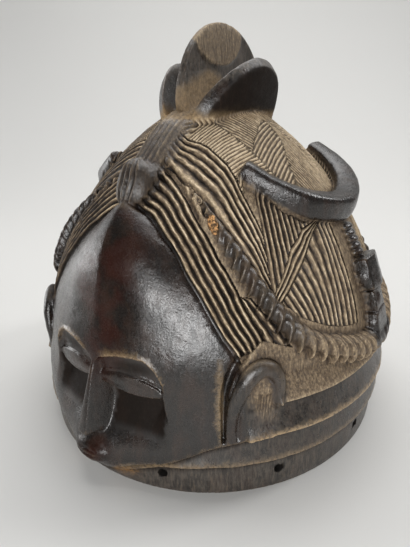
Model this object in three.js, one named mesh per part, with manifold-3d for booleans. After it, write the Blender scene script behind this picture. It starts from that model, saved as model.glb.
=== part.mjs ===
// A two-faced helmet mask, carved hollow from one block of wood, standing on its rim.
// Millimetres, +Z up, the origin at the middle of the rim's underside.
// One face looks along -Y and the other along +Y, and the left and right sides match.
import * as THREE from "three";
import { mergeVertices } from "three/addons/utils/BufferGeometryUtils.js";
import Module from "manifold-3d";

const wasm = await Module();
wasm.setup();

// Driving dimensions of the helmet
const RIM_RADIUS = 130;
const FRONT_STRETCH = 1.04;
const DOME_HEIGHT = 225;
const DOME_FULLNESS = 2.6;
const DOME_TAPER = 0.77;
const WALL = 15;
const CAVITY_HEIGHT = 188;

// Neck rings, from the lowest up: the height of each lower edge, how far it flares, and where the rings begin
const RING_EDGES = [22, 40, 63];
const RING_FLARE = 2.4;
const RING_START_DEG = [30, 38];
const TOP_RING_RISE = 18;

// Face: heights above the rim, and widths across the surface from the middle line
const JAW = { height: 40, widthDeg: 42, step: 2.4, fade: 30 };
const MOUTH = { height: 19, halfWidth: 15, halfHeight: 7, lipOut: 3.5 };
const MUZZLE = { out: 9, spread: 24, top: 40 };
const NOSE = { foot: 31, root: 80, out: [5, 13], halfWidth: [5, 10.5], flank: [3.5, 3], underside: 4 };
const EYE = { height: 61, inner: 12, outer: 43, lidTop: 74, lidEdge: 1.5, bulge: 5.5 };
const BROW = { endHeight: 77, rise: 9, droop: 11, cut: 3 };
const SOCKET = { depth: 7.5, bottom: 28, full: 54, side: 5 };
const FOREHEAD = { out: 11, height: 145, spread: 38 };
const BROW_SWELL = { out: 3, height: 82, spread: 18 };

// Hairline, as the angle from the middle of the face and the height above the rim
const HAIRLINE = [[0, 166], [10, 160], [19, 146.5], [27, 129], [33, 108], [40, 88], [42, 40]];
const HAIR = { step: 2, foot: 70, full: 85 };

// Rope of hair on each side: angle from the middle of the face, height above the rim
const ROPE_PATH = [
  [11, 183], [22, 170], [31, 155], [41, 132], [48, 112],
  [56, 92], [68, 78], [79, 71], [90, 69],
];
const ROPE_RADIUS = [3.8, 7.4];
const ROPE_OUT = [0.5, 2.5];
const ROPE_TWISTS = 11;

// Horseshoe on each side: angle, distance from the middle axis, height
const HORSESHOE_PATH = [[46, 69, 182], [58, 79, 171], [72, 90, 162], [90, 95, 158]];
const HORSESHOE_HALF_WIDTH = [7.6, 8.8];
const HORSESHOE_HALF_DEPTH = [7.2, 8.6];

// Ear: the angle and height of the curved rim, from its front foot over the top to its tail
const EAR_PATH = [
  [36.5, 40], [36, 56], [36.5, 72], [39, 84], [43.5, 88.5],
  [48, 84], [50, 74], [50, 63], [48, 52],
];
const EAR_OUT = 3.5;
const EAR_RIM_RADIUS = 4.2;

// Crest
// Its three leaves: middle height, rise above it, depth below it, and how far each end reaches
const FIN = { y: 10, z: 222, rise: 46, drop: 30, reach: [51, 53], fullness: [2, 2], half: 7.2 };
const FIN_TOP_SHARE = 0.22;
const FIN_TAPER = 0.6;
const PETAL = { y: 0, z: 210, rise: 36, drop: 22, reach: [47, 44], fullness: [1.6, 2.5], half: 3.6 };
const PETAL_OFFSET = { right: 27, left: 23.5 };
const PETAL_LEAN = 0.25;
const PETAL_CURL = [13, 4];

// Knot of hair above each forehead, and the ridge that runs from it up to the crest
const KNOT_CENTRE = [0, 83, 173.5];
const KNOT_RADII = [12, 11, 16];
const KNOT_TILT_DEG = 25;
const RIDGE_PATH = [[0, 179, 1], [0, 190, 1], [0, 203, 0], [0, 214, -5]];
const RIDGE_HALF_WIDTH = 14;
const RIDGE_OUT = 9;

// Charm packets in a column on each side, under the horseshoe: height of the middle, width, height, depth
const CHARMS = [[115.5, 23, 21, 10.5], [98.5, 18, 14, 9.5], [84, 22, 16, 9.5]];
const CHARM_ROOT = 6;
const CHARM_STRAND = [[90, 146], [90, 136], [90, 126]];
const CHARM_STRAND_RADIUS = 5;

// Holes
const TIE_HOLE_RADIUS = 2.7;
const TIE_HOLE_HEIGHT = 13.5;
const TIE_HOLE_ANGLES = [20.3, 51, 81];
const SLIT_LENGTH = 14;
const SLIT_HEIGHT = 2.6;
const SLIT_ANGLE_DEG = 16.5;

const WOOD = new THREE.MeshStandardMaterial({ color: 0x35281f, roughness: 0.55, metalness: 0 });

const DEG = Math.PI / 180;
// How finely the shapes are faceted, and how far a cutting tool reaches through the wall
const QUARTER_COLUMNS = 15;
const BODY_ROWS = 25;
const CAVITY_ROWS = 9;
const CAVITY_COLUMNS = 34;
const GRAIN = 0.01;
const CUT_DEPTH = 60;

function smoothStep(low, high, value) {
  const t = Math.min(1, Math.max(0, (value - low) / (high - low)));
  return t * t * (3 - 2 * t);
}

function mix(a, b, t) {
  return a + (b - a) * t;
}

function bell(value, centre, spread) {
  return Math.exp(-(((value - centre) / spread) ** 2));
}

// The value of a line through points [x, y] at x.
function alongPoints(points, x) {
  for (let i = 1; i < points.length; i++) {
    const [x0, y0] = points[i - 1];
    const [x1, y1] = points[i];
    if ((x - x0) * (x - x1) <= 0) return mix(y0, y1, (x - x0) / (x1 - x0));
  }
  return (x - points[0][0]) * (points.at(-1)[0] - points[0][0]) < 0 ? points[0][1] : points.at(-1)[1];
}

// The angle from the middle line of the nearer face, 0 to 90 degrees.
function angleFromFace(angle) {
  const turned = Math.abs(Math.atan2(Math.sin(angle), Math.cos(angle))) / DEG;
  return Math.min(turned, 180 - turned);
}

function bodyRadius(z) {
  const share = Math.min(1, Math.max(0, z / DOME_HEIGHT));
  return RIM_RADIUS * Math.pow(1 - Math.pow(share, DOME_FULLNESS), DOME_TAPER);
}

// The outward direction of the plain body at height z, as [radial, upward].
function bodyNormal(z) {
  const below = Math.max(0, z - 1);
  const above = Math.min(DOME_HEIGHT - 0.5, z + 1);
  const slope = (bodyRadius(above) - bodyRadius(below)) / (above - below);
  const length = Math.hypot(1, slope);
  return [1 / length, -slope / length];
}

// A point over the plain body: angle round from the front, height, and distance out from the surface.
function onBody(angleDeg, z, out = 0) {
  const [radial, upward] = bodyNormal(z);
  const r = bodyRadius(z) + radial * out;
  const angle = angleDeg * DEG;
  return new THREE.Vector3(Math.sin(angle) * r, -Math.cos(angle) * r * FRONT_STRETCH, z + upward * out);
}

function hairlineAngle(z) {
  return alongPoints(HAIRLINE.map(([angle, height]) => [height, angle]), z);
}

function jawHeight(angleDeg) {
  return JAW.height * smoothStep(-3, JAW.widthDeg, angleDeg);
}

function browHeight(across) {
  const share = Math.min(1, across / EYE.outer);
  return BROW.endHeight - BROW.droop * share ** 6 + BROW.rise * Math.sin(Math.PI * Math.min(1, share * 0.9));
}

// Neck rings: each band widens down to its lower edge and cuts back in below it.
function ringRelief(z) {
  for (let i = 1; i < RING_EDGES.length; i++) {
    const [low, high] = [RING_EDGES[i - 1], RING_EDGES[i]];
    if (z >= low && z < high) return RING_FLARE * (1 - (z - low) / (high - low));
  }
  const top = RING_EDGES.at(-1);
  return z >= top ? RING_FLARE * 0.8 * smoothStep(top + TOP_RING_RISE, top, z) : 0;
}

// The nose is a wedge that widens and stands further out towards its foot.
function noseRelief(across, z) {
  const down = (NOSE.root - z) / (NOSE.root - NOSE.foot);
  if (down < 0) return 0;
  const share = Math.min(1, down);
  const half = mix(...NOSE.halfWidth, share ** 1.5);
  const flank = smoothStep(half + NOSE.flank[0], half - NOSE.flank[1], across);
  return mix(...NOSE.out, share) * flank * smoothStep(NOSE.foot - NOSE.underside, NOSE.foot + 1, z);
}

// The socket is cut in under the brow, and the closed lid bulges out of it.
function eyeRelief(across, z) {
  const under = smoothStep(0, BROW.cut, browHeight(across) - z);
  const inside = smoothStep(0, SOCKET.side, EYE.outer + 1 - across);
  const socket = -SOCKET.depth * under * inside * smoothStep(SOCKET.bottom, SOCKET.full, z);
  const middle = (EYE.inner + EYE.outer) / 2;
  const halfLength = (EYE.outer - EYE.inner) / 2 + 2;
  const lidMiddle = (EYE.lidTop + EYE.height) / 2;
  const lidHalf = (EYE.lidTop - EYE.height) / 2 + EYE.lidEdge;
  const round = 1 - ((across - middle) / halfLength) ** 2 - ((z - lidMiddle) / lidHalf) ** 2;
  return socket + EYE.bulge * Math.sqrt(Math.max(0, round));
}

// The mouth and chin push forward as one small blunt muzzle, drawn in to the rim underneath.
function mouthRelief(across, z) {
  const rise = z < MOUTH.height ? smoothStep(-2, MOUTH.height, z) : smoothStep(MUZZLE.top, MOUTH.height, z);
  const pout = 1 - (across / MOUTH.halfWidth) ** 2 - ((z - MOUTH.height) / MOUTH.halfHeight) ** 2;
  return MUZZLE.out * rise * bell(across, 0, MUZZLE.spread) + MOUTH.lipOut * Math.sqrt(Math.max(0, pout));
}

function foreheadRelief(share, z) {
  const dome = FOREHEAD.out * bell(z, FOREHEAD.height, FOREHEAD.spread);
  const swell = BROW_SWELL.out * bell(z, BROW_SWELL.height, BROW_SWELL.spread);
  return (dome + swell) * (1 - share ** 1.5);
}

// How far the carved surface stands out from the plain body.
function relief(angle, z) {
  const a = angleFromFace(angle);
  const across = a * DEG * RIM_RADIUS;
  const hairline = hairlineAngle(z);
  const jaw = jawHeight(a);
  const onFace = smoothStep(hairline + 1.5, hairline - 1.5, a);
  const step = z > jaw ? JAW.step * smoothStep(jaw + JAW.fade, jaw, z) : 0;
  const features = noseRelief(across, z) + eyeRelief(across, z) * smoothStep(4, 9, across);
  const forehead = foreheadRelief(Math.min(1, a / Math.max(1, hairline)), z);
  const face = step + forehead + features + mouthRelief(across, z);
  const rings = ringRelief(z) * smoothStep(...RING_START_DEG, a);
  return mix(Math.max(rings, HAIR.step * smoothStep(HAIR.foot, HAIR.full, z)), face, onFace);
}

// A closed, merged geometry as a solid.
function solidOf(geometry) {
  const bare = geometry.clone();
  bare.deleteAttribute("normal");
  bare.deleteAttribute("uv");
  const merged = mergeVertices(bare, 1e-3);
  return new wasm.Manifold(
    new wasm.Mesh({
      numProp: 3,
      vertProperties: new Float32Array(merged.attributes.position.array),
      triVerts: new Uint32Array(merged.index.array),
    }),
  );
}

// Moves every vertex of a geometry by a function of its place.
function reshape(geometry, move) {
  const place = geometry.attributes.position;
  const point = new THREE.Vector3();
  for (let i = 0; i < place.count; i++) {
    point.fromBufferAttribute(place, i);
    const moved = move(point);
    place.setXYZ(i, moved.x, moved.y, moved.z);
  }
  return geometry;
}

// LatheGeometry turns its profile about Y. Columns crowd towards the two faces.
function columnAngle(share) {
  const quarter = Math.floor(share * 4 + 1e-9);
  const within = share * 4 - quarter;
  const fromFace = quarter % 2 === 0 ? within : 1 - within;
  const warped = 90 * Math.pow(fromFace, 1.3);
  const start = [0, 180, 180, 360][quarter % 4];
  return (quarter % 2 === 0 ? start + warped : start - warped) * DEG;
}

function bodySolid() {
  const profile = [new THREE.Vector2(0, 0)];
  for (let i = 0; i <= BODY_ROWS; i++) {
    const share = i / BODY_ROWS;
    const z = DOME_HEIGHT * (1 - Math.pow(1 - share, 1.25));
    profile.push(new THREE.Vector2(i === BODY_ROWS ? 0 : bodyRadius(z), z));
  }
  const lathe = new THREE.LatheGeometry(profile, 4 * QUARTER_COLUMNS);
  return solidOf(
    reshape(lathe, (p) => {
      const share = ((Math.atan2(p.x, p.z) / (2 * Math.PI)) % 1 + 1) % 1;
      const r = Math.hypot(p.x, p.z);
      if (r < 1e-3) return new THREE.Vector3(0, 0, p.y);
      const angle = columnAngle(Math.round(share * 4 * QUARTER_COLUMNS) / (4 * QUARTER_COLUMNS));
      const z = p.y;
      const out = relief(angle, z) * smoothStep(DOME_HEIGHT, DOME_HEIGHT - 12, z);
      const point = onBody(angle / DEG, z, out);
      point.z = z < 1e-6 ? 0 : point.z;
      return point;
    }),
  );
}

function cavitySolid() {
  const widest = RIM_RADIUS - WALL;
  const profile = [new THREE.Vector2(0, -WALL), new THREE.Vector2(widest, -WALL)];
  for (let i = 0; i <= CAVITY_ROWS; i++) {
    const z = CAVITY_HEIGHT * Math.sin((i / CAVITY_ROWS) * 90 * DEG);
    const r = widest * Math.pow(1 - Math.pow(z / CAVITY_HEIGHT, DOME_FULLNESS), DOME_TAPER);
    profile.push(new THREE.Vector2(i === CAVITY_ROWS ? 0 : r, z));
  }
  const lathe = new THREE.LatheGeometry(profile, CAVITY_COLUMNS);
  return solidOf(reshape(lathe, (p) => new THREE.Vector3(p.x, -p.z * FRONT_STRETCH, p.y)));
}

// A solid round section swept along points, its section turned to lie on the body.
// size(share, turn) gives the half width across the surface and the half depth out from it.
function sweep(points, outward, steps, sides, size) {
  const curve = new THREE.CatmullRomCurve3(points, false, "centripetal");
  const rod = new THREE.CylinderGeometry(1, 1, 1, sides, steps);
  return solidOf(
    reshape(rod, (p) => {
      const share = Math.min(1, Math.max(0, p.y + 0.5));
      const centre = curve.getPoint(share);
      const along = curve.getTangent(share);
      const out = outward(centre);
      const side = new THREE.Vector3().crossVectors(along, out).normalize();
      out.crossVectors(side, along).normalize();
      const [halfWidth, halfDepth] = size(share, Math.atan2(p.z, p.x));
      return centre.addScaledVector(side, p.x * halfWidth).addScaledVector(out, p.z * halfDepth);
    }),
  );
}

// The outward direction of the plain body nearest a point.
function outwardAt(point) {
  const z = Math.min(DOME_HEIGHT - 2, Math.max(0, point.z));
  const [radial, upward] = bodyNormal(z);
  const flat = new THREE.Vector3(point.x, point.y, 0).normalize();
  return flat.multiplyScalar(radial).setZ(upward);
}

function mirrored(path, turn = (angle) => 180 - angle) {
  return [...path, ...path.slice(0, -1).reverse().map(([angle, ...rest]) => [turn(angle), ...rest])];
}

function ropeSolid(side) {
  const low = ROPE_PATH.at(-1)[1];
  const high = ROPE_PATH[0][1];
  const out = (z) => mix(ROPE_OUT[1], ROPE_OUT[0], smoothStep(low, high, z));
  const points = mirrored(ROPE_PATH).map(([angle, z]) => onBody(side * angle, z, out(z)));
  return sweep(points, outwardAt, 36, 6, (share, turn) => {
    const strand = 1 + 0.14 * Math.cos(2 * Math.PI * ROPE_TWISTS * share - turn);
    const radius = mix(ROPE_RADIUS[0], ROPE_RADIUS[1], Math.sin(Math.PI * share) ** 0.8) * strand;
    return [radius, radius];
  });
}

function horseshoeSolid(side) {
  const points = mirrored(HORSESHOE_PATH).map(([angle, r, z]) => {
    const a = side * angle * DEG;
    return new THREE.Vector3(Math.sin(a) * r, -Math.cos(a) * r * FRONT_STRETCH, z);
  });
  const square = (turn) => 1 / Math.pow(Math.abs(Math.cos(turn)) ** 4 + Math.abs(Math.sin(turn)) ** 4, 0.25);
  return sweep(points, outwardAt, 15, 10, (share, turn) => {
    const full = Math.sin(Math.PI * share);
    const width = mix(...HORSESHOE_HALF_WIDTH, full);
    const depth = mix(...HORSESHOE_HALF_DEPTH, full);
    return [width * square(turn), depth * square(turn)];
  });
}

function earSolid(side, faceTurn) {
  const place = (angle) => side * Math.abs(faceTurn - angle);
  const rise = (z) => EAR_OUT * smoothStep(34, 76, z);
  const points = EAR_PATH.map(([angle, z]) => onBody(place(angle), z, rise(z)));
  return sweep(points, outwardAt, 10, 6, (share) => {
    const taper = 0.7 + 0.3 * Math.sin(Math.PI * share);
    return [EAR_RIM_RADIUS * taper, (EAR_RIM_RADIUS + 1.5) * taper];
  });
}

// A leaf-shaped board standing across X, with a blunt rim all round.
function leaf({ y, z, rise, drop, reach, fullness, half }) {
  const outline = [[0, 1], [0.7, 1], [0.94, 0.85], [1, 0.35], [1, -0.35], [0.94, -0.85], [0.7, -1], [0, -1]];
  const disc = new THREE.LatheGeometry(outline.map(([r, t]) => new THREE.Vector2(r, -t)), 18);
  return reshape(disc, (p) => {
    const size = Math.hypot(p.x, p.z);
    const end = p.x < 0 ? 0 : 1;
    const power = fullness[end];
    const rounded = Math.pow(Math.abs(p.x) ** power + Math.abs(p.z) ** power, 1 / power);
    const scale = rounded > 0 ? size / rounded : 0;
    const up = p.z * scale * (p.z > 0 ? rise : drop);
    return new THREE.Vector3(-p.y * half, y + p.x * scale * reach[end], z + up);
  });
}

function finSolid() {
  return solidOf(
    reshape(leaf(FIN), (p) => {
      const share = Math.min(1, Math.max(0, (p.z - FIN.z + 15) / (FIN.rise + 15)));
      return new THREE.Vector3(p.x * mix(1, FIN_TOP_SHARE, share ** FIN_TAPER), p.y, p.z);
    }),
  );
}

function petalSolid(side) {
  const petal = reshape(leaf(PETAL), (p) => {
    const curl = PETAL_CURL[p.y < PETAL.y ? 0 : 1] * ((p.y - PETAL.y) / 48) ** 2;
    const offset = side > 0 ? PETAL_OFFSET.right : PETAL_OFFSET.left;
    return new THREE.Vector3(offset + p.x + PETAL_LEAN * (p.z - PETAL.z) - curl, p.y, p.z);
  });
  const made = solidOf(petal);
  return side > 0 ? made : made.mirror([1, 0, 0]);
}

function knotSolid(front) {
  const [x, y, z] = KNOT_CENTRE;
  const knot = new THREE.SphereGeometry(1, 11, 8).scale(...KNOT_RADII);
  knot.rotateX(KNOT_TILT_DEG * DEG).translate(x, -y, z);
  const made = solidOf(knot);
  return front > 0 ? made : made.mirror([0, 1, 0]);
}

function ridgeSolid(front) {
  const points = RIDGE_PATH.map(([angle, z, out]) => onBody(angle, z, out));
  const made = sweep(points, outwardAt, 4, 10, () => [RIDGE_HALF_WIDTH, RIDGE_OUT]);
  return front > 0 ? made : made.mirror([0, 1, 0]);
}

function charmSolids(side) {
  const solids = CHARMS.map(([z, width, height, depth]) => {
    const box = new THREE.BoxGeometry(depth + CHARM_ROOT, width, height);
    const out = outwardAt(new THREE.Vector3(1, 0, z));
    const seat = onBody(90, z, 0);
    const turn = new THREE.Matrix4().makeRotationY(-Math.atan2(out.z, out.x));
    box.translate((depth - CHARM_ROOT) / 2, 0, 0).applyMatrix4(turn).translate(seat.x, 0, seat.z);
    return solidOf(box);
  });
  const strand = CHARM_STRAND.map(([angle, z]) => onBody(angle, z, 2));
  solids.push(sweep(strand, outwardAt, 5, 7, () => [CHARM_STRAND_RADIUS, CHARM_STRAND_RADIUS]));
  return side > 0 ? solids : solids.map((s) => s.mirror([1, 0, 0]));
}

function tieHoleSolid(angleDeg) {
  const drill = new THREE.CylinderGeometry(TIE_HOLE_RADIUS, TIE_HOLE_RADIUS, CUT_DEPTH, 8);
  drill.translate(0, RIM_RADIUS, 0).rotateZ(-Math.PI + angleDeg * DEG).translate(0, 0, TIE_HOLE_HEIGHT);
  return solidOf(reshape(drill, (p) => new THREE.Vector3(p.x, p.y * FRONT_STRETCH, p.z)));
}

function eyeSlitSolid(side, front) {
  const cut = new THREE.BoxGeometry(SLIT_LENGTH, CUT_DEPTH, SLIT_HEIGHT);
  cut.translate(0, -RIM_RADIUS * FRONT_STRETCH, EYE.height).rotateZ(side * SLIT_ANGLE_DEG * DEG);
  const made = solidOf(cut);
  return front > 0 ? made : made.mirror([0, 1, 0]);
}

function carvedMask() {
  const parts = [finSolid(), knotSolid(1), knotSolid(-1), ridgeSolid(1), ridgeSolid(-1)];
  for (const side of [1, -1]) {
    parts.push(ropeSolid(side), horseshoeSolid(side), petalSolid(side), ...charmSolids(side));
    parts.push(earSolid(side, 0), earSolid(side, 180));
  }
  let mask = bodySolid();
  for (const part of parts) mask = mask.add(part);
  mask = mask.subtract(cavitySolid());
  for (const angle of TIE_HOLE_ANGLES) {
    for (const place of [angle, -angle, 180 - angle, 180 + angle]) mask = mask.subtract(tieHoleSolid(place));
  }
  for (const side of [1, -1]) {
    mask = mask.subtract(eyeSlitSolid(side, 1)).subtract(eyeSlitSolid(side, -1));
  }
  return mask;
}

function geometryOf(solid) {
  const mesh = solid.getMesh();
  const positions = new Float32Array(mesh.numVert * 3);
  for (let i = 0; i < mesh.numVert; i++) {
    positions.set(mesh.vertProperties.subarray(i * mesh.numProp, i * mesh.numProp + 3), i * 3);
  }
  const snapped = positions.map((value) => Math.round(value / GRAIN) * GRAIN);
  const joined = new THREE.BufferGeometry();
  joined.setAttribute("position", new THREE.BufferAttribute(snapped, 3));
  joined.setIndex(new THREE.BufferAttribute(mesh.triVerts, 1));
  const geometry = mergeVertices(joined, GRAIN / 2);
  const corners = geometry.index.array;
  const kept = [];
  for (let i = 0; i < corners.length; i += 3) {
    const [a, b, c] = corners.subarray(i, i + 3);
    if (a !== b && b !== c && c !== a) kept.push(a, b, c);
  }
  geometry.setIndex(kept);
  geometry.computeVertexNormals();
  return geometry;
}

const mask = new THREE.Mesh(geometryOf(carvedMask()), WOOD);
mask.name = "helmet_mask";

const part = new THREE.Group();
part.add(mask);

export default part;
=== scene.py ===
"""A two-faced helmet mask, carved hollow from one block of dark wood.

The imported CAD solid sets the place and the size, and one carved body replaces it: a dome with two
faces, combed bands of hair, a rope and a horseshoe on each side, a three-leaf crest and a column of
charm packets. Shapes are worked out in millimetres in the CAD frame, and stored in metres.
"""

import logging
import math
from dataclasses import dataclass
from enum import Enum
from typing import Callable, Sequence

import bmesh
import bpy
import numpy as np
from mathutils import Matrix, Vector

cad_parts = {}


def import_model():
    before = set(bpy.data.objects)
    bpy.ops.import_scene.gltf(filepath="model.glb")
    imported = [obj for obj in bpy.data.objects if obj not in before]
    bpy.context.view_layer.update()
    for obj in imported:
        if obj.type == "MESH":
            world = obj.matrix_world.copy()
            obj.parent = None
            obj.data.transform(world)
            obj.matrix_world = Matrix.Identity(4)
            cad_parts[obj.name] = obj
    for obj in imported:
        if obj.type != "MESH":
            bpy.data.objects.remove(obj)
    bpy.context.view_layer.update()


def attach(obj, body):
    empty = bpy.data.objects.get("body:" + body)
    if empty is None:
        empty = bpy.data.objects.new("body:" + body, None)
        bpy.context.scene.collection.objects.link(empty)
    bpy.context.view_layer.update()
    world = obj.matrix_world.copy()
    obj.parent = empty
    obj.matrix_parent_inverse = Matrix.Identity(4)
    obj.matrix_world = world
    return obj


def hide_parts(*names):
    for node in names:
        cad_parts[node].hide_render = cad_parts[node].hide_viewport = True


Array = np.ndarray
Curve = Sequence[tuple[float, float]]
Span = tuple[float, float]
Move = Callable[[Array], Array]
Band = tuple[Array, Array, float, float, Array, float]
Socket = bpy.types.NodeSocket
Colour = tuple[float, float, float, float]
Triple = tuple[float, float, float]
Mesh = bpy.types.Mesh
Work = bmesh.types.BMesh

MM = 0.001
DEG = math.pi / 180
LOG = logging.getLogger("helmet_mask")


def rise(low: float, high: float, value: Array) -> Array:
    """Rise smoothly from 0 at low to 1 at high."""
    t = np.clip((value - low) / (high - low), 0, 1)
    return t * t * (3 - 2 * t)


def bell(value: Array, centre: float, spread: float) -> Array:
    """Fall off from 1 at the centre as a bell curve."""
    return np.exp(-(((value - centre) / spread) ** 2))


def mix(low: Array, high: Array, share: Array) -> Array:
    """Blend from low to high."""
    return low + (high - low) * share


def read(curve: Curve, at: Array) -> Array:
    """Read a curve's second value at its first."""
    ordered = np.array(sorted(curve))
    return np.interp(at, ordered[:, 0], ordered[:, 1])


def read_back(curve: Curve, at: Array) -> Array:
    """Read a curve's first value at its second."""
    return read([(second, first) for first, second in curve], at)


def notch(phase: Array, sharpness: float) -> Array:
    """Give 1 on each whole number and 0 half way between, as V cuts between round ridges do.

    Args:
        phase: A value that grows by one from each cut to the next.
        sharpness: How narrow the cuts are against the ridges.

    Returns:
        The share of the full depth at each place.
    """
    return np.abs(2 * (phase - np.floor(phase)) - 1) ** sharpness


def unit(vectors: Array) -> Array:
    """Scale vectors to length one."""
    return vectors / np.maximum(np.linalg.norm(vectors, axis=-1, keepdims=True), 1e-9)


class Grain:
    """Smooth noise from -1 to 1 on a seeded lattice that repeats."""

    def __init__(self, seed: int, cells: int = 32) -> None:
        """Draw the lattice."""
        self.cells = cells
        self.lattice = np.random.default_rng(seed).uniform(-1, 1, (cells, cells, cells))

    def at(self, points: Array, size: float) -> Array:
        """Sample the noise.

        Args:
            points: Places in millimetres, one row each.
            size: The size of one lattice cell in millimetres.

        Returns:
            One value for each place.
        """
        scaled = points / size
        low = np.floor(scaled).astype(int)
        share = scaled - low
        share = share * share * (3 - 2 * share)
        total = np.zeros(len(points))
        for corner in np.ndindex(2, 2, 2):
            cell = (low + corner) % self.cells
            weight = np.prod(np.where(corner, share, 1 - share), axis=1)
            total += weight * self.lattice[cell[:, 0], cell[:, 1], cell[:, 2]]
        return total


GRAIN = Grain(seed=7)


def rough(points: Array, size: float, octaves: int = 3) -> Array:
    """Add up noise of smaller and smaller size, each half as strong as the one before.

    Args:
        points: The places in millimetres.
        size: The largest noise cell in millimetres.
        octaves: How many sizes are added.

    Returns:
        One value for each place.
    """
    total = np.zeros(len(points))
    for step in range(octaves):
        total += GRAIN.at(points + 31.7 * step, size / 2**step) / 2**step
    return total


@dataclass(frozen=True)
class Dome:
    """The plain surface that the carving stands on."""

    rim_radius: float = 130.0
    front_stretch: float = 1.04
    height: float = 225.0
    fullness: float = 2.6
    taper: float = 0.77
    wall: float = 15.0
    cavity_height: float = 188.0

    def radius(self, z: Array) -> Array:
        """Give the half width at each height."""
        share = np.clip(z / self.height, 0, 1)
        return self.rim_radius * (1 - share**self.fullness) ** self.taper

    def lean(self, z: Array) -> tuple[Array, Array]:
        """Give the outward direction at each height as its radial and upward parts.

        Args:
            z: The height.

        Returns:
            The radial part and the upward part.
        """
        below = np.clip(z - 1, 0, self.height - 3)
        above = np.clip(z + 1, 2, self.height - 0.5)
        slope = (self.radius(above) - self.radius(below)) / (above - below)
        length = np.hypot(1, slope)
        return 1 / length, -slope / length

    def point(self, angle: Array, z: Array, out: Array = 0.0) -> Array:
        """Place points over the surface.

        Args:
            angle: Degrees round from the middle of the front face.
            z: Height of the point's foot on the surface.
            out: Distance out from the surface.

        Returns:
            The points, one row each.
        """
        radial, upward = self.lean(z)
        r = self.radius(z) + radial * out
        x = np.sin(angle * DEG) * r
        y = -np.cos(angle * DEG) * r * self.front_stretch
        return np.stack(np.broadcast_arrays(x, y, z + upward * out), axis=-1)

    def locate(self, points: Array) -> tuple[Array, Array, Array]:
        """Find where points lie over the surface.

        Args:
            points: Places in millimetres, one row each.

        Returns:
            The degrees from the middle of the nearer face, the height of the foot, and the
            distance out from the surface.
        """
        across = np.abs(points[:, 0])
        ahead = np.abs(points[:, 1]) / self.front_stretch
        r = np.hypot(across, ahead)
        foot = np.clip(points[:, 2], 0, self.height - 1)
        out = np.zeros(len(points))
        for _ in range(3):
            radial, upward = self.lean(foot)
            out = (r - self.radius(foot)) * radial + (points[:, 2] - foot) * upward
            foot = np.clip(points[:, 2] - upward * out, 0, self.height - 1)
        return np.arctan2(across, ahead) / DEG, foot, out

    def outward(self, points: Array) -> Array:
        """Give the outward direction of the surface near each point.

        Args:
            points: The places in millimetres.

        Returns:
            The directions, one row each.
        """
        radial, upward = self.lean(np.clip(points[:, 2], 0, self.height - 2))
        flat = unit(points[:, :2])
        return np.column_stack([flat * radial[:, None], upward])


DOME = Dome()


def fold(points: Array) -> Array:
    """Bring every quarter of the mask onto the front right one."""
    return np.column_stack([np.abs(points[:, 0]), -np.abs(points[:, 1]), points[:, 2]])


def smooth_path(corners: Array, count: int = 400) -> Array:
    """Draw a smooth line through corners, with its points evenly spaced.

    Args:
        corners: The places that the line goes through, one row each.
        count: How many points the line gets.

    Returns:
        The line's points.
    """
    first = 2 * corners[0] - corners[1]
    last = 2 * corners[-1] - corners[-2]
    guide = np.vstack([first, corners, last])
    share = np.linspace(0, 1, 24, endpoint=False)[:, None]
    pieces = []
    for a, b, c, d in zip(guide, guide[1:], guide[2:], guide[3:]):
        bend = 2 * a - 5 * b + 4 * c - d
        twist = 3 * b - a - 3 * c + d
        pieces.append(b + 0.5 * share * (c - a + share * (bend + share * twist)))
    line = np.vstack([*pieces, corners[-1:]])
    run = np.concatenate([[0], np.cumsum(np.linalg.norm(np.diff(line, axis=0), axis=1))])
    even = np.linspace(0, run[-1], count)
    return np.column_stack([np.interp(even, run, line[:, axis]) for axis in range(3)])


def distance_to(path: Array, points: Array) -> tuple[Array, Array]:
    """Measure how far points are from a line, and where along it.

    Args:
        path: The line's points.
        points: The places to measure, one row each.

    Returns:
        The distance to the nearest point of the line, and that point's share of the length.
    """
    nearest = np.full(len(points), np.inf)
    share = np.zeros(len(points))
    for index, place in enumerate(path):
        gap = np.linalg.norm(points - place, axis=1)
        closer = gap < nearest
        nearest[closer] = gap[closer]
        share[closer] = index / (len(path) - 1)
    return nearest, share


def sphere_of(columns: int, rows: int, move: Move) -> Mesh:
    """Make a closed body by moving the vertices of a sphere.

    A sheet is rolled up into the sphere, because the sphere operator is slow when it is fine.

    Args:
        columns: Faces round the sphere.
        rows: Rings of faces from pole to pole.
        move: Takes the vertices of the unit sphere, its poles along Z, and gives their new places in
            millimetres.

    Returns:
        The mesh, in metres.
    """
    work = bmesh.new()
    bmesh.ops.create_grid(work, x_segments=columns, y_segments=rows, size=1)
    mesh = bpy.data.meshes.new("body")
    work.to_mesh(mesh)
    sheet = read_places(mesh)
    turn = sheet[:, 0] * math.pi
    tilt = (sheet[:, 1] + 1) * math.pi / 2
    ball = np.column_stack([np.sin(tilt) * np.cos(turn), np.sin(tilt) * np.sin(turn), -np.cos(tilt)])
    write_places(mesh, ball)
    work.clear()
    work.from_mesh(mesh)
    bmesh.ops.remove_doubles(work, verts=work.verts, dist=1e-6)
    work.to_mesh(mesh)
    work.free()
    write_places(mesh, move(read_places(mesh)) * MM)
    return mesh


def around(ball: Array) -> tuple[Array, Array]:
    """Give a unit sphere's vertices as the share from pole to pole and the angle round."""
    share = np.arccos(np.clip(-ball[:, 2], -1, 1)) / math.pi
    return share, np.arctan2(ball[:, 1], ball[:, 0])


def read_places(mesh: Mesh) -> Array:
    """Give the mesh's vertices, one row each.

    Args:
        mesh: The mesh.

    Returns:
        Their places in metres.
    """
    flat = np.empty(3 * len(mesh.vertices))
    mesh.vertices.foreach_get("co", flat)
    return flat.reshape(-1, 3)


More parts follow.
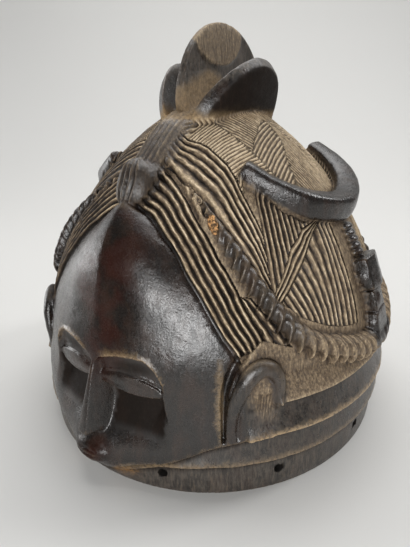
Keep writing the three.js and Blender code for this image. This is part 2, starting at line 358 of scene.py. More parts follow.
def write_places(mesh: Mesh, places: Array) -> None:
    """Move the mesh's vertices."""
    mesh.vertices.foreach_set("co", places.ravel())
    mesh.update()


class Copies(Enum):
    """Where copies of a shape go, as pairs of signs of X and Y."""

    LEFT_RIGHT = ((1, 1), (-1, 1))
    FRONT_BACK = ((1, 1), (1, -1))
    ALL_QUARTERS = ((1, 1), (-1, 1), (1, -1), (-1, -1))


class Side(Enum):
    """A side of the mask, as seen with the front face ahead, by its sign of X."""

    RIGHT = 1
    LEFT = -1


def mirrored(mesh: Mesh, where: Copies) -> list[Mesh]:
    """Copy a mesh to other sides of the mask.

    Args:
        mesh: The shape.
        where: The sides that it goes to.

    Returns:
        One copy for each side.
    """
    copies = []
    for x, y in where.value:
        copy = mesh.copy()
        copy.transform(Matrix.Diagonal((x, y, 1, 1)))
        copies.append(copy)
    return copies


@dataclass(frozen=True)
class Tube:
    """A solid rod along a line, its section turned to lie on the dome."""

    path: Array
    section: Callable[[Array, Array], tuple[Array, Array]]
    cap: float
    rows: int
    columns: int
    cap_share: float = 0.06

    def mesh(self) -> Mesh:
        """Make the rod."""
        return sphere_of(self.columns, self.rows, self.move)

    def move(self, ball: Array) -> Array:
        """Wrap a sphere round the line.

        Args:
            ball: The sphere's vertices.

        Returns:
            The new places in millimetres.
        """
        share, turn = around(ball)
        length = np.linalg.norm(np.diff(self.path, axis=0), axis=1).sum()
        near_end = np.minimum(share, 1 - share)
        quarter = np.clip(near_end / self.cap_share, 0, 1) * math.pi / 2
        middle = (near_end - self.cap_share) / (1 - 2 * self.cap_share)
        run = np.where(
            near_end < self.cap_share,
            self.cap * (1 - np.cos(quarter)),
            self.cap + middle * (length - 2 * self.cap),
        )
        along = np.where(share < 0.5, run, length - run) / length
        steps = np.linspace(0, 1, len(self.path))
        tangent = unit(np.gradient(self.path, axis=0))
        out = DOME.outward(self.path)
        side = unit(np.cross(tangent, out))
        out = np.cross(side, tangent)
        half_width, half_depth = self.section(along, turn)

        def carried(rows: Array) -> Array:
            """Read the line's own rows at each vertex."""
            return np.column_stack([np.interp(along, steps, rows[:, axis]) for axis in range(3)])

        across = (np.sin(quarter) * np.cos(turn) * half_width)[:, None]
        up = (np.sin(quarter) * np.sin(turn) * half_depth)[:, None]
        return carried(self.path) + carried(side) * across + carried(out) * up


def spot(angle: Array, z: Array, centre: Span, half: Span, tilt: float = 0.0) -> Array:
    """Mark an oval patch of the surface.

    Args:
        angle: Degrees from the face's middle.
        z: The height.
        centre: The patch's middle, as an angle and a height.
        half: Half its width and half its height in millimetres.
        tilt: Degrees that its top leans to the right.

    Returns:
        1 in the middle, falling to 0 at the edge.
    """
    across = (angle - centre[0]) * DEG * DOME.radius(z)
    above = (z - centre[1]) * 1.1
    turned = across * math.cos(tilt * DEG) - above * math.sin(tilt * DEG)
    along = across * math.sin(tilt * DEG) + above * math.cos(tilt * DEG)
    return np.clip(1 - (turned / half[0]) ** 2 - (along / half[1]) ** 2, 0, 1)


def trench(gap: Array, half: float) -> Array:
    """Mark a thin line: 1 in its middle, falling to 0 at half its width."""
    return np.clip(1 - (gap / half) ** 2, 0, 1)


@dataclass(frozen=True)
class Face:
    """One face: heights above the rim, and widths across the surface from the middle line."""

    muzzle_out: float = 9.0
    muzzle_spread: float = 24.0
    mouth_height: float = 19.5
    nose_foot: float = 34.5
    nose_root: float = 80.0
    nose_out: Span = (3.6, 12.6)
    nose_flat: Span = (1.0, 3.4)
    nose_half_width: Span = (4.8, 9.8)
    socket_depth: float = 8.0
    forehead_out: float = 11.0
    forehead_height: float = 145.0
    forehead_spread: float = 38.0
    keel_out: float = 1.4

    # Lines across the face, as degrees from the middle and height
    brow: Curve = ((0, 76), (2, 81.6), (4.4, 84), (8, 86), (12, 86.6), (15.2, 86.3), (17.2, 84),
                   (18.8, 81), (20, 77), (20.8, 73), (22, 62))
    crease: Curve = ((0, 72), (3, 74.4), (5.2, 75.6), (8, 77), (12, 76.6), (16, 74.4), (19.2, 71.8),
                     (20.6, 68))
    lid_edge: Curve = ((0, 67), (4, 65.2), (6.8, 63.8), (8.8, 63.2), (12.4, 62.6), (15.6, 62.6),
                       (18, 63.2), (21, 64.2))
    jaw: Curve = ((0, 7), (5.2, 8.5), (8, 12.3), (11.2, 16), (14, 18.5), (17.2, 20.4), (20, 21.9),
                  (24, 25.4), (27.6, 29.4), (30, 32.6), (32, 35), (34, 36.6), (38.3, 38.6),
                  (45, 41.2), (50, 42.4), (60, 42), (90, 41))
    # Each line of the mouth, as its height, droop, reach and depth
    mouth_lines: Sequence[tuple[float, float, float, float]] = (
        (19.8, 0.07, 12, 1.3), (23.4, 0.13, 8, 0.7), (16.6, 0.10, 9, 0.8), (13.4, 0.12, 6, 0.5))
    scars: Sequence[Span] = ((6.3, 16), (7.3, 15.2), (8.2, 17.2))

    def forehead(self, share: Array, across: Array, z: Array) -> Array:
        """Swell the forehead, with a soft keel down its middle.

        Args:
            share: The share of the way from the middle to the hairline.
            across: The distance from the middle in millimetres.
            z: The height.

        Returns:
            How far it stands out.
        """
        swell = self.forehead_out * bell(z, self.forehead_height, self.forehead_spread)
        swell = swell + 3.4 * bell(z, 84, 18)
        keel = self.keel_out * np.exp(-across / 9) * rise(84, 110, z) * rise(168, 140, z)
        return swell * (1 - share**2) ** 1.5 + keel

    def eye(self, angle: Array, z: Array) -> Array:
        """Cut the socket in under the brow and swell the closed lid out of it.

        Args:
            angle: Degrees from the middle.
            z: The height.

        Returns:
            How far the surface moves out.
        """
        brow = read(self.brow, angle)
        crease = read(self.crease, angle)
        edge = read(self.lid_edge, angle)
        over_lid = np.clip((z - crease) / np.maximum(brow - crease, 1), 0, 1)
        on_lid = np.clip((z - edge) / np.maximum(crease - edge, 1), 0, 1)
        lid = 2.7 * np.sin(math.pi * (0.22 + 0.72 * on_lid)) - 4.4
        band = mix(-4.0, -2.2, over_lid)
        upper = mix(lid, band, rise(-0.4, 0.6, z - crease))
        below = -self.socket_depth * rise(27, 57, z)
        carved = mix(upper, below, rise(0.8, -0.8, z - edge))
        soft = mix(4.0, 0.5, rise(40, 62, z))
        inside = rise(soft, -soft, angle - 20.6)
        return carved * inside * rise(0.6, -0.4, z - brow)

    def nose(self, across: Array, z: Array) -> tuple[Array, Array]:
        """Shape the nose as a wedge with a blunt ridge and flat flanks.

        Args:
            across: The distance from the middle in millimetres.
            z: The height.

        Returns:
            How far its planes stand out from the dome, and the share that is there at each height.
        """
        down = np.clip((self.nose_root - z) / (self.nose_root - self.nose_foot), 0, 1)
        top = mix(*self.nose_out, down**1.1)
        flat = mix(*self.nose_flat, down)
        half = mix(*self.nose_half_width, down**1.2)
        off = np.clip((across - flat) / (half - flat), 0, 2)
        plane = top - (top + 4.5) * off - 0.5 * (across / np.maximum(flat, 1)) ** 2 * (off <= 0)
        plane = plane - 0.5 * (off > 0)
        wing = 2.2 * bell(across, 7.4, 2.8) * bell(z, self.nose_foot + 4, 4)
        foot = rise(self.nose_foot - 2.2, self.nose_foot + 1.2, z)
        return plane + wing, foot * rise(self.nose_root + 6, self.nose_root - 4, z)

    def mouth(self, across: Array, z: Array) -> Array:
        """Push the small mouth forward as one blunt muzzle, drawn in to the rim underneath.

        Args:
            across: The distance from the middle in millimetres.
            z: The height.

        Returns:
            How far it stands out.
        """
        swell = np.where(
            z < self.mouth_height,
            rise(-2, self.mouth_height, z),
            rise(42, self.mouth_height, z),
        )
        pout = np.clip(1 - (across / 14) ** 2 - ((z - 20) / 7) ** 2, 0, 1)
        return self.muzzle_out * swell * bell(across, 0, self.muzzle_spread) + 2.6 * np.sqrt(pout)

    def relief(self, angle: Array, z: Array, hairline: Array) -> Array:
        """Add up the face.

        Args:
            angle: Degrees from the middle.
            z: The height.
            hairline: The hairline's angle at that height.

        Returns:
            How far the face stands out from the dome.
        """
        across = angle * DEG * DOME.rim_radius
        jaw = read(self.jaw, angle)
        cheek = 2.2 * rise(jaw + 34, jaw + 1, z) * rise(6, 20, angle)
        share = np.clip(angle / np.maximum(hairline, 1), 0, 1)
        ground = cheek + self.forehead(share, across, z) + self.mouth(across, z)
        ground = ground + self.eye(angle, z)
        plane, there = self.nose(across, z)
        return ground + np.maximum(plane - ground, 0) * there

    def lines(self, angle: Array, z: Array) -> Array:
        """Cut the thin lines: the mouth, the creases of the lid and a few scars.

        Args:
            angle: Degrees from the middle.
            z: The height.

        Returns:
            How far the surface moves out.
        """
        across = angle * DEG * DOME.rim_radius
        total = np.zeros(len(z))
        for height, droop, reach, depth in self.mouth_lines:
            gap = z - height + droop * across
            total -= depth * trench(gap, 1.0) * rise(reach, reach - 4, across)
        on_eye = rise(20.4, 19.6, angle) * rise(4.5, 7, across)
        crease = z - read(self.crease, angle)
        total += on_eye * (0.7 * trench(crease - 0.2, 0.9) - 0.5 * trench(crease + 1.5, 0.8))
        total += on_eye * 0.45 * trench(crease + 2.8, 0.8) * rise(9, 12, angle)
        total += on_eye * 0.5 * trench(z - read(self.lid_edge, angle) - 0.9, 0.9)
        arch = trench(z - read(self.brow, angle) - 0.9, 1.1) * (angle < 20.8)
        total += 0.6 * arch * rise(2.5, 4, angle)
        slit = 0.15 + 3.3 * rise(13.5, 19.5, angle)
        under = read(self.lid_edge, angle) - z
        opening = (under > 0) * rise(slit, slit - 1, under) * rise(13, 15, angle)
        total -= 3.4 * opening * on_eye
        for place in self.scars:
            total -= 0.5 * spot(angle, z, place, (0.5, 3.0), 25)
        return total


@dataclass(frozen=True)
class NeckRings:
    """Bands round the neck: each widens down to its lower edge and cuts back in below it."""

    low: Curve = ((0, 4), (20, 19), (30, 22), (50, 23.5), (90, 22.5))
    top: Curve = ((0, 62.5), (90, 62.5))
    flare: Sequence[float] = (3.2, 5.6, 5.8)
    edge: float = 0.7

    def lines(self, angle: Array) -> list[Array]:
        """Give the heights of the bands' lower edges, from the lowest up."""
        return [read(self.low, angle), read(Face.jaw, angle), read(self.top, angle)]

    def relief(self, angle: Array, z: Array) -> Array:
        """Give how far the bands stand out.

        Args:
            angle: Degrees from the face's middle.
            z: The height.

        Returns:
            The relief at each place.
        """
        lines = self.lines(angle)
        total = np.zeros(len(z))
        behind_ear = rise(47.5, 50.5, angle)
        reach = (1, 1, behind_ear)
        for low, high, flare, there in zip(lines, lines[1:] + [lines[-1] + 22], self.flare, reach):
            share = np.clip((z - low) / np.maximum(high - low, 1), 0, 1)
            band = flare * there * (1 - share) ** 1.5 * rise(-0.2, self.edge, z - low)
            total = np.maximum(total, np.where(z < high, band, 0))
        return total


@dataclass(frozen=True)
class Ear:
    """A hooked ear: a raised rim, a deep cut in front of it and a lobe inside."""

    rim: Curve = ((37.9, 42), (38.1, 54), (38.9, 64), (40.4, 73), (42.6, 80.5), (45.6, 84.4),
                  (48.4, 82), (49.9, 75.5), (49.9, 66), (49.2, 58), (48.2, 53))
    cut: Curve = ((36.1, 41), (36.1, 56), (36.4, 68), (37.3, 77), (39.0, 85), (41.5, 90.5))
    front_line: Curve = ((39.6, 42), (39.7, 56), (40.4, 66), (41.8, 73), (43.6, 77), (45.4, 79))
    back_edge: Curve = ((48.2, 52), (49.4, 56), (50.2, 61), (50.6, 66), (51.3, 72), (51.3, 82))
    mm_per_degree: float = 2.2

    def tube(self) -> Tube:
        """Raise the hooked rim.

        Returns:
            The rim as a rod.
        """
        angle, z = np.array(self.rim).T
        path = smooth_path(DOME.point(angle, z, 4.4 * rise(46, 76, z) - 0.4))

        def section(along: Array, turn: Array) -> tuple[Array, Array]:
            """Swell the rim over the top of the ear.

            Args:
                along: The share of the length.
                turn: The angle round the section; not used.

            Returns:
                Half its width and half its depth.
            """
            top = bell(along, 0.52, 0.26)
            half = np.where(along < 0.52, mix(3.3, 5.2, top), mix(2.0, 5.2, top))
            return half, mix(2.4, 4.2, top)

        return Tube(path, section, cap=2.5, rows=110, columns=30)

    def gap(self, line: Curve, angle: Array, z: Array) -> Array:
        """Measure the distance to one of the ear's lines.

        Args:
            line: The line.
            angle: Degrees from the face's middle.
            z: The height.

        Returns:
            The distance in millimetres.
        """
        corners = np.array([(a * self.mm_per_degree, height, 0) for a, height in line])
        flat = np.column_stack([angle * self.mm_per_degree, z, np.zeros(len(z))])
        return distance_to(smooth_path(corners, 90), flat)[0]

    def near(self, angle: Array, z: Array) -> Array:
        """Find the places round the ear."""
        return (angle > 32) & (angle < 55) & (z > 34) & (z < 98)

    def relief(self, angle: Array, z: Array) -> Array:
        """Cut in front of the rim and raise the lobe inside it.

        Args:
            angle: Degrees from the face's middle.
            z: The height.

        Returns:
            How far the surface moves out.
        """
        near = self.near(angle, z)
        total = np.zeros(len(z))
        a, h = angle[near], z[near]
        half = 1.2 + 1.4 * rise(45, 82, h)
        cut = -4.4 * np.clip(1 - (self.gap(self.cut, a, h) / half) ** 2, 0, 1) ** 0.6
        inner = -1.6 * trench(self.gap(self.front_line, a, h), 1.5)
        behind = rise(0.3, -0.3, a - read_back(self.back_edge, h))
        inside = rise(39.2, 40.6, a) * behind * rise(49, 58, h) * rise(86, 80, h)
        lobe = 2.4 * inside + 1.6 * spot(a, h, (47.0, 72.2), (6.2, 4.4), -20)
        total[near] = cut + inner + lobe
        return total

    def lines(self, angle: Array, z: Array) -> Array:
        """Cut the slanted strokes on the lobe."""
        where = spot(angle, z, (47.2, 60.5), (6.4, 10.5), -14) ** 0.3
        return -0.7 * notch((angle - 0.055 * z) / 0.72, 2) * where


@dataclass(frozen=True)
class Hair:
    """Combed bands, fans and hatching, as cuts that follow the dome."""

    hairline: Curve = ((0, 163.5), (5, 160.8), (8, 159.5), (10, 158.3), (13, 154.8), (15, 152),
                       (17, 149), (20, 145), (22.5, 140), (24, 136), (25.5, 131.8), (27.5, 127),
                       (29.5, 122), (31.3, 116.5), (33, 111), (34.5, 106), (36, 101), (37.7, 96),
                       (39, 92), (40, 88), (41, 80), (42, 40))
    front_edge: Curve = ((5, 184), (10, 181), (15, 177), (18, 174), (20, 171), (23, 167), (25, 163),
                         (28, 157), (31.5, 150.5), (33.5, 145), (35, 140), (37, 135), (38.5, 130),
                         (40.3, 124), (41.3, 119), (42.8, 113.5), (44.2, 108), (45.6, 103),
                         (46.6, 98), (47.5, 93), (48.5, 87))
    wedge_edge: Curve = ((40.8, 121.4), (44, 120), (46, 115), (48, 110), (50, 105), (52, 98.5),
                         (54, 93), (56, 88))
    front_end: Curve = ((36, 84), (40, 88), (42, 90.5), (44, 94), (46, 98), (47.5, 97), (50, 95), (54, 92))
    side_low: Curve = ((3, 186.5), (5, 185.5), (10, 183), (15, 179.5), (18, 176.5), (20, 175),
                       (25, 171), (28, 168.5), (30, 166), (33, 161), (36, 156), (38, 152),
                       (40, 148), (42, 143), (44, 138), (46, 132), (48, 125), (50, 117), (52, 110))
    side_high: Curve = ((3, 201), (10, 198), (20, 196), (25, 195), (30, 193), (35, 189),
                        (40, 184.5), (43, 178), (44.5, 172), (46.5, 165), (48.5, 158), (50, 150),
                        (51, 140), (52, 130), (54, 120))
    side_ridges: Curve = ((0, 0), (0.29, 1), (0.49, 2), (0.655, 3), (0.845, 4), (1, 5))
    fan_low: Curve = ((50, 118), (55, 112), (58, 106), (62, 102), (66, 98), (70, 95), (75, 92), (80, 90))
    strip_top: Curve = ((50, 118), (51.7, 123), (55.4, 132), (59.1, 142), (62.8, 146), (65.8, 150),
                        (68.7, 151), (74, 153))
    strip_low: Curve = ((50, 110), (53, 116), (55.5, 121), (58, 126), (61, 131.5), (64, 137),
                        (67, 142.5), (70, 147), (74, 150.5), (76, 151))
    horseshoe_low: Curve = ((40, 182.6), (44.8, 180.8), (50, 173.8), (60, 160), (70, 152.5),
                            (80, 149), (90, 148))
    # Lines over the crown, as X and Y on the front right quarter
    parting: float = -35.5
    herringbone: Curve = ((42.7, -2.2), (54.4, -6.2), (65.3, -18.1), (71, -22.5), (90, -30))
    valley: Curve = ((4, 184.8), (10, 182), (15, 178), (20, 172.6), (24, 166.5), (28, 158.6), (30, 154))
    scoops: Sequence[Span] = ((24.2, 171.4), (28.0, 167), (30.3, 161.2))
    chip: Span = (33.2, 155.5)
    mm_per_degree: float = 1.7
    plain_dust: float = 0.70

    def between(self, low: Curve, high: Curve, lean: float, angle: Array, z: Array) -> tuple[Array, Array]:
        """Measure places across a band between two falling lines.

        Args:
            low: The band's lower line.
            high: Its upper line.
            lean: Degrees by which the band falls away from the level.
            angle: Degrees from the face's middle.
            z: The height.

        Returns:
            The share of the way from the lower line to the upper one, and the distance above the
            lower line in millimetres.
        """
        cos, sin = math.cos(lean * DEG), math.sin(lean * DEG)

        def turned(a: Array, height: Array) -> tuple[Array, Array]:
            """Turn places so that the band lies level."""
            level = a * self.mm_per_degree
            return level * cos - height * sin, level * sin + height * cos

        along, across = turned(angle, z)
        under = np.interp(along, *turned(*np.array(low).T))
        over = np.interp(along, *turned(*np.array(high).T))
        return (across - under) / np.maximum(over - under, 1), across - under

    def bands(self, points: Array, angle: Array, z: Array) -> list[Band]:
        """Lay out the bands.

        Args:
            points: The places in millimetres.
            angle: Degrees from the face's middle.
            z: The height.

        Returns:
            For each band where it is, its phase, its depth, its sharpness, the distance along its
            cuts and how much dust lies in it.
        """
        front, _ = self.between(self.hairline, self.front_edge, 47, angle, z)
        wedge, _ = self.between(self.front_edge, self.wedge_edge, 66, angle, z)
        side, _ = self.between(self.side_low, self.side_high, 38, angle, z)
        level = angle * self.mm_per_degree
        falling = 0.7 * (level - z)
        end = z > read(self.front_end, angle)
        top = read(self.strip_top, angle)
        base = read(self.strip_low, angle)
        strip_share = (z - base) / np.maximum(top - base, 1)
        shoe = read(self.horseshoe_low, angle)
        slant = 0.02 * np.clip(72 - angle, 0, None)
        over_shoe = shoe + 12 * rise(46, 52, angle)
        crown_low = np.where(angle < 45.5, read(self.side_high, angle), over_shoe)
        crown = (z > crown_low) & (points[:, 2] < 214)
        x, y = np.abs(points[:, 0]), -np.abs(points[:, 1])
        upper = crown & (y >= self.parting)
        middle = upper & (y < read(self.herringbone, x))
        corner = 42.3 - 0.33 * (y + 14.2)
        side_phase = np.interp(side, *np.array(self.side_ridges).T)
        wedge_there = (wedge > 0) & (wedge < 1) & (z < 121) & (angle > 41)
        return [
            ((front > 0) & (front < 1) & end, 5 * front, 2.1, 1.5, falling, 0.46),
            (wedge_there & end, 2 * wedge, 1.7, 1.2, falling, 0.50),
            ((side > 0) & (side < 1) & (angle < 50), side_phase, 1.9, 1.4, falling, 0.62),
            ((angle > 50) & (z > top) & (z < shoe - 1.5), (angle - 49.9) / 1.95, 1.4, 1.5, z, 0.48),
            ((angle > 50) & (strip_share > 0) & (strip_share < 1), 3 * strip_share, 1.4, 1.6, level, 0.64),
            ((angle > 51) & (angle < 80.5) & (z < base) & (z > read(self.fan_low, angle)),
             (angle - slant * (118 - z)) / 2.3, 1.2, 1.5, z, 0.60),
            (crown & (y < self.parting), (x - 0.36 * (y + 44)) / 1.9, 0.8, 1.5, y, 0.86),
            (middle & (x < corner), (y - 0.28 * x) / 2.0, 0.8, 1.5, x, 0.72),
            (middle & (x >= corner), (x + 0.15 * (y + 15)) / 2.2, 0.8, 1.5, y, 0.78),
            (upper & ~middle, (points[:, 1] - 0.34 * x) / 2.1, 0.8, 1.5, x, 0.75),
        ]

    def comb(self, points: Array, angle: Array, z: Array) -> dict[str, Array]:
        """Comb the hair.

        Args:
            points: The places in millimetres.
            angle: Degrees from the face's middle.
            z: The height.

        Returns:
            How far the surface moves out, the phase of the cuts and the distance along them, where
            there is combed hair, and the dust in it.
        """
        angle = angle + 0.08 * (GRAIN.at(points, 17) + GRAIN.at(points, 6))
        z = z + 0.22 * GRAIN.at(points + 90, 15)
        drift = 0.09 * GRAIN.at(points + 40, 13) + 0.06 * GRAIN.at(points + 70, 5)
        uneven = 1 + 0.45 * GRAIN.at(points + 10, 11)
        made = {name: np.zeros(len(z)) for name in ("out", "phase", "along", "combed")}
        made["dust"] = np.full(len(z), self.plain_dust)
        for where, phase, depth, sharpness, along, dust in self.bands(points, angle, z):
            cut = -depth * uneven * notch(phase + drift, sharpness)
            for name, value in (("out", cut), ("phase", phase + drift), ("along", along),
                                ("combed", 1.0), ("dust", dust)):
                made[name] = np.where(where, value, made[name])
        _, gap = self.between(self.hairline, self.front_edge, 47, angle, z)
        groove = -1.3 * trench(gap + 0.2, 1.4) * (z > 86) * (angle < 43)
        made["out"] = np.minimum(made["out"], groove)
        return made

    def scars(self, points: Array, angle: Array, z: Array) -> Array:
        """Cut the scoops beside the rope's start, and the chip knocked out of one rope.

        Args:
            points: The places in millimetres.
            angle: Degrees from the face's middle.
            z: The height.

        Returns:
            How far the surface moves out.
        """
        total = -2.6 * trench(z - read(self.valley, angle), 3.4) * rise(31, 27, angle) * (angle > 3)
        for place in self.scoops:
            total -= 3.2 * spot(angle, z, place, (1.9, 4.2), -20)
        return total - 2.4 * self.chipped(points, angle, z)

    def chipped(self, points: Array, angle: Array, z: Array) -> Array:
        """Mark where a piece of one rope has been knocked off.

        Args:
            points: The places in millimetres.
            angle: Degrees from the face's middle.
            z: The height.

        Returns:
            Above 0 inside the chip.
        """
        ragged = 1 + 0.6 * GRAIN.at(points, 3.6) + 0.3 * GRAIN.at(points, 1.6)
        only_here = (points[:, 0] > 0) & (points[:, 1] < 0)
        return np.sqrt(spot(angle, z, self.chip, (2.7, 5.8), -18)) * ragged * only_here


@dataclass(frozen=True)
class Crest:
    """Three standing leaves: a fin on the middle line and a petal on each side."""

    fin_centre: Span = (10.0, 222.0)
    fin_up_down: Span = (46.0, 30.0)
    fin_reach: Span = (51.0, 53.0)
    fin_half: Span = (7.4, 1.5)
    fin_disc: Span = (2.0, 263.0)
    fin_disc_radii: Span = (30.0, 21.0)
    petal_centre: Span = (0.0, 210.0)
    petal_up_down: Span = (36.0, 22.0)
    petal_reach: Span = (47.0, 44.0)
    petal_power: Span = (1.6, 2.5)
    petal_half: float = 4.0
    petal_offset: Sequence[float] = (27.0, 23.5)
    petal_lean: float = 0.25
    petal_curl: Span = (13.0, 4.0)
    edge_fullness: float = 9.0

    def leaf(self, ball: Array, centre: Span, up_down: Span,
             reach: Span, power: Span,
             bevel: float) -> tuple[Array, Array, Array]:
        """Flatten a unit sphere into a board with a squared edge, standing across X.

        Args:
            ball: The sphere's vertices.
            centre: The middle of the board as Y and Z.
            up_down: How far it goes above and below its middle.
            reach: How far it goes to the front and to the back.
            power: How full its outline is towards the front and the back.
            bevel: The share by which the outline is smaller on the outer side.

        Returns:
            The thickness from -1 to 1, and the Y and Z of each vertex.
        """
        tilt = np.arccos(np.clip(ball[:, 2], -1, 1))
        full = self.edge_fullness
        ring = (np.abs(np.sin(tilt)) ** full + np.abs(np.cos(tilt)) ** full) ** (1 / full)
        through = np.cos(tilt) / ring
        rim = np.sin(tilt) / ring * (1 - bevel * (1 + through) / 2)
        turn = np.arctan2(ball[:, 1], ball[:, 0])
        ahead = np.cos(turn)
        above = np.sin(turn)
        bow = np.where(ahead < 0, power[0], power[1])
        outline = (np.abs(ahead) ** bow + np.abs(above) ** bow) ** (-1 / bow)
        y = centre[0] + rim * outline * ahead * np.where(ahead < 0, reach[0], reach[1])
        z = centre[1] + rim * outline * above * np.where(above > 0, up_down[0], up_down[1])
        return through, y, z

    def on_disc(self, y: Array, z: Array) -> Array:
        """Measure how far out of the fin's rough disc a place is, 1 on its edge."""
        return np.hypot((y - self.fin_disc[0]) / self.fin_disc_radii[0],
                        (z - self.fin_disc[1]) / self.fin_disc_radii[1])

    def fin(self, ball: Array) -> Array:
        """Shape the fin: a wedge, hollowed on both sides under a flat disc.

        Args:
            ball: The sphere's vertices.

        Returns:
            The new places in millimetres.
        """
        through, y, z = self.leaf(ball, self.fin_centre, self.fin_up_down, self.fin_reach, (2, 2), 0)
        up = np.clip((z - self.fin_centre[1] + 17) / (self.fin_up_down[0] + 17), 0, 1)
        half = mix(*self.fin_half, up**0.6)
        inside = rise(1.0, 0.86, np.hypot((y - 10) / 52, (z - 222) / 46))
        hollow = 1.3 * rise(0.97, 1.07, self.on_disc(y, z)) * rise(206, 226, z) * inside
        return np.column_stack([through * np.maximum(half - hollow, 0.9), y, z])

    def petal(self, side: Side) -> Mesh:
        """Shape a petal: it leans out, curls in at its ends and has a slanting rim.

        Args:
            side: The side that it stands on.

        Returns:
            The petal.
        """
        offset = self.petal_offset[0 if side is Side.RIGHT else 1]

        def move(ball: Array) -> Array:
            """Shape the petal out of a sphere.

            Args:
                ball: The sphere's vertices.

            Returns:
                The new places in millimetres.
            """
            through, y, z = self.leaf(
                ball, self.petal_centre, self.petal_up_down, self.petal_reach, self.petal_power, 0.2)
            away = y - self.petal_centre[0]
            curl = np.where(away < 0, *self.petal_curl) * (away / 48) ** 2
            dish = 1.2 * rise(1, 0, np.hypot(away / 44, (z - self.petal_centre[1]) / 36))
            x = offset + through * (self.petal_half - dish * (through < 0))
            x = x + self.petal_lean * (z - self.petal_centre[1]) - curl
            return np.column_stack([side.value * x, y, z])

        return sphere_of(150, 130, move)

    def meshes(self) -> list[Mesh]:
        """Make the three leaves."""
        return [sphere_of(160, 140, self.fin), *(self.petal(side) for side in Side)]


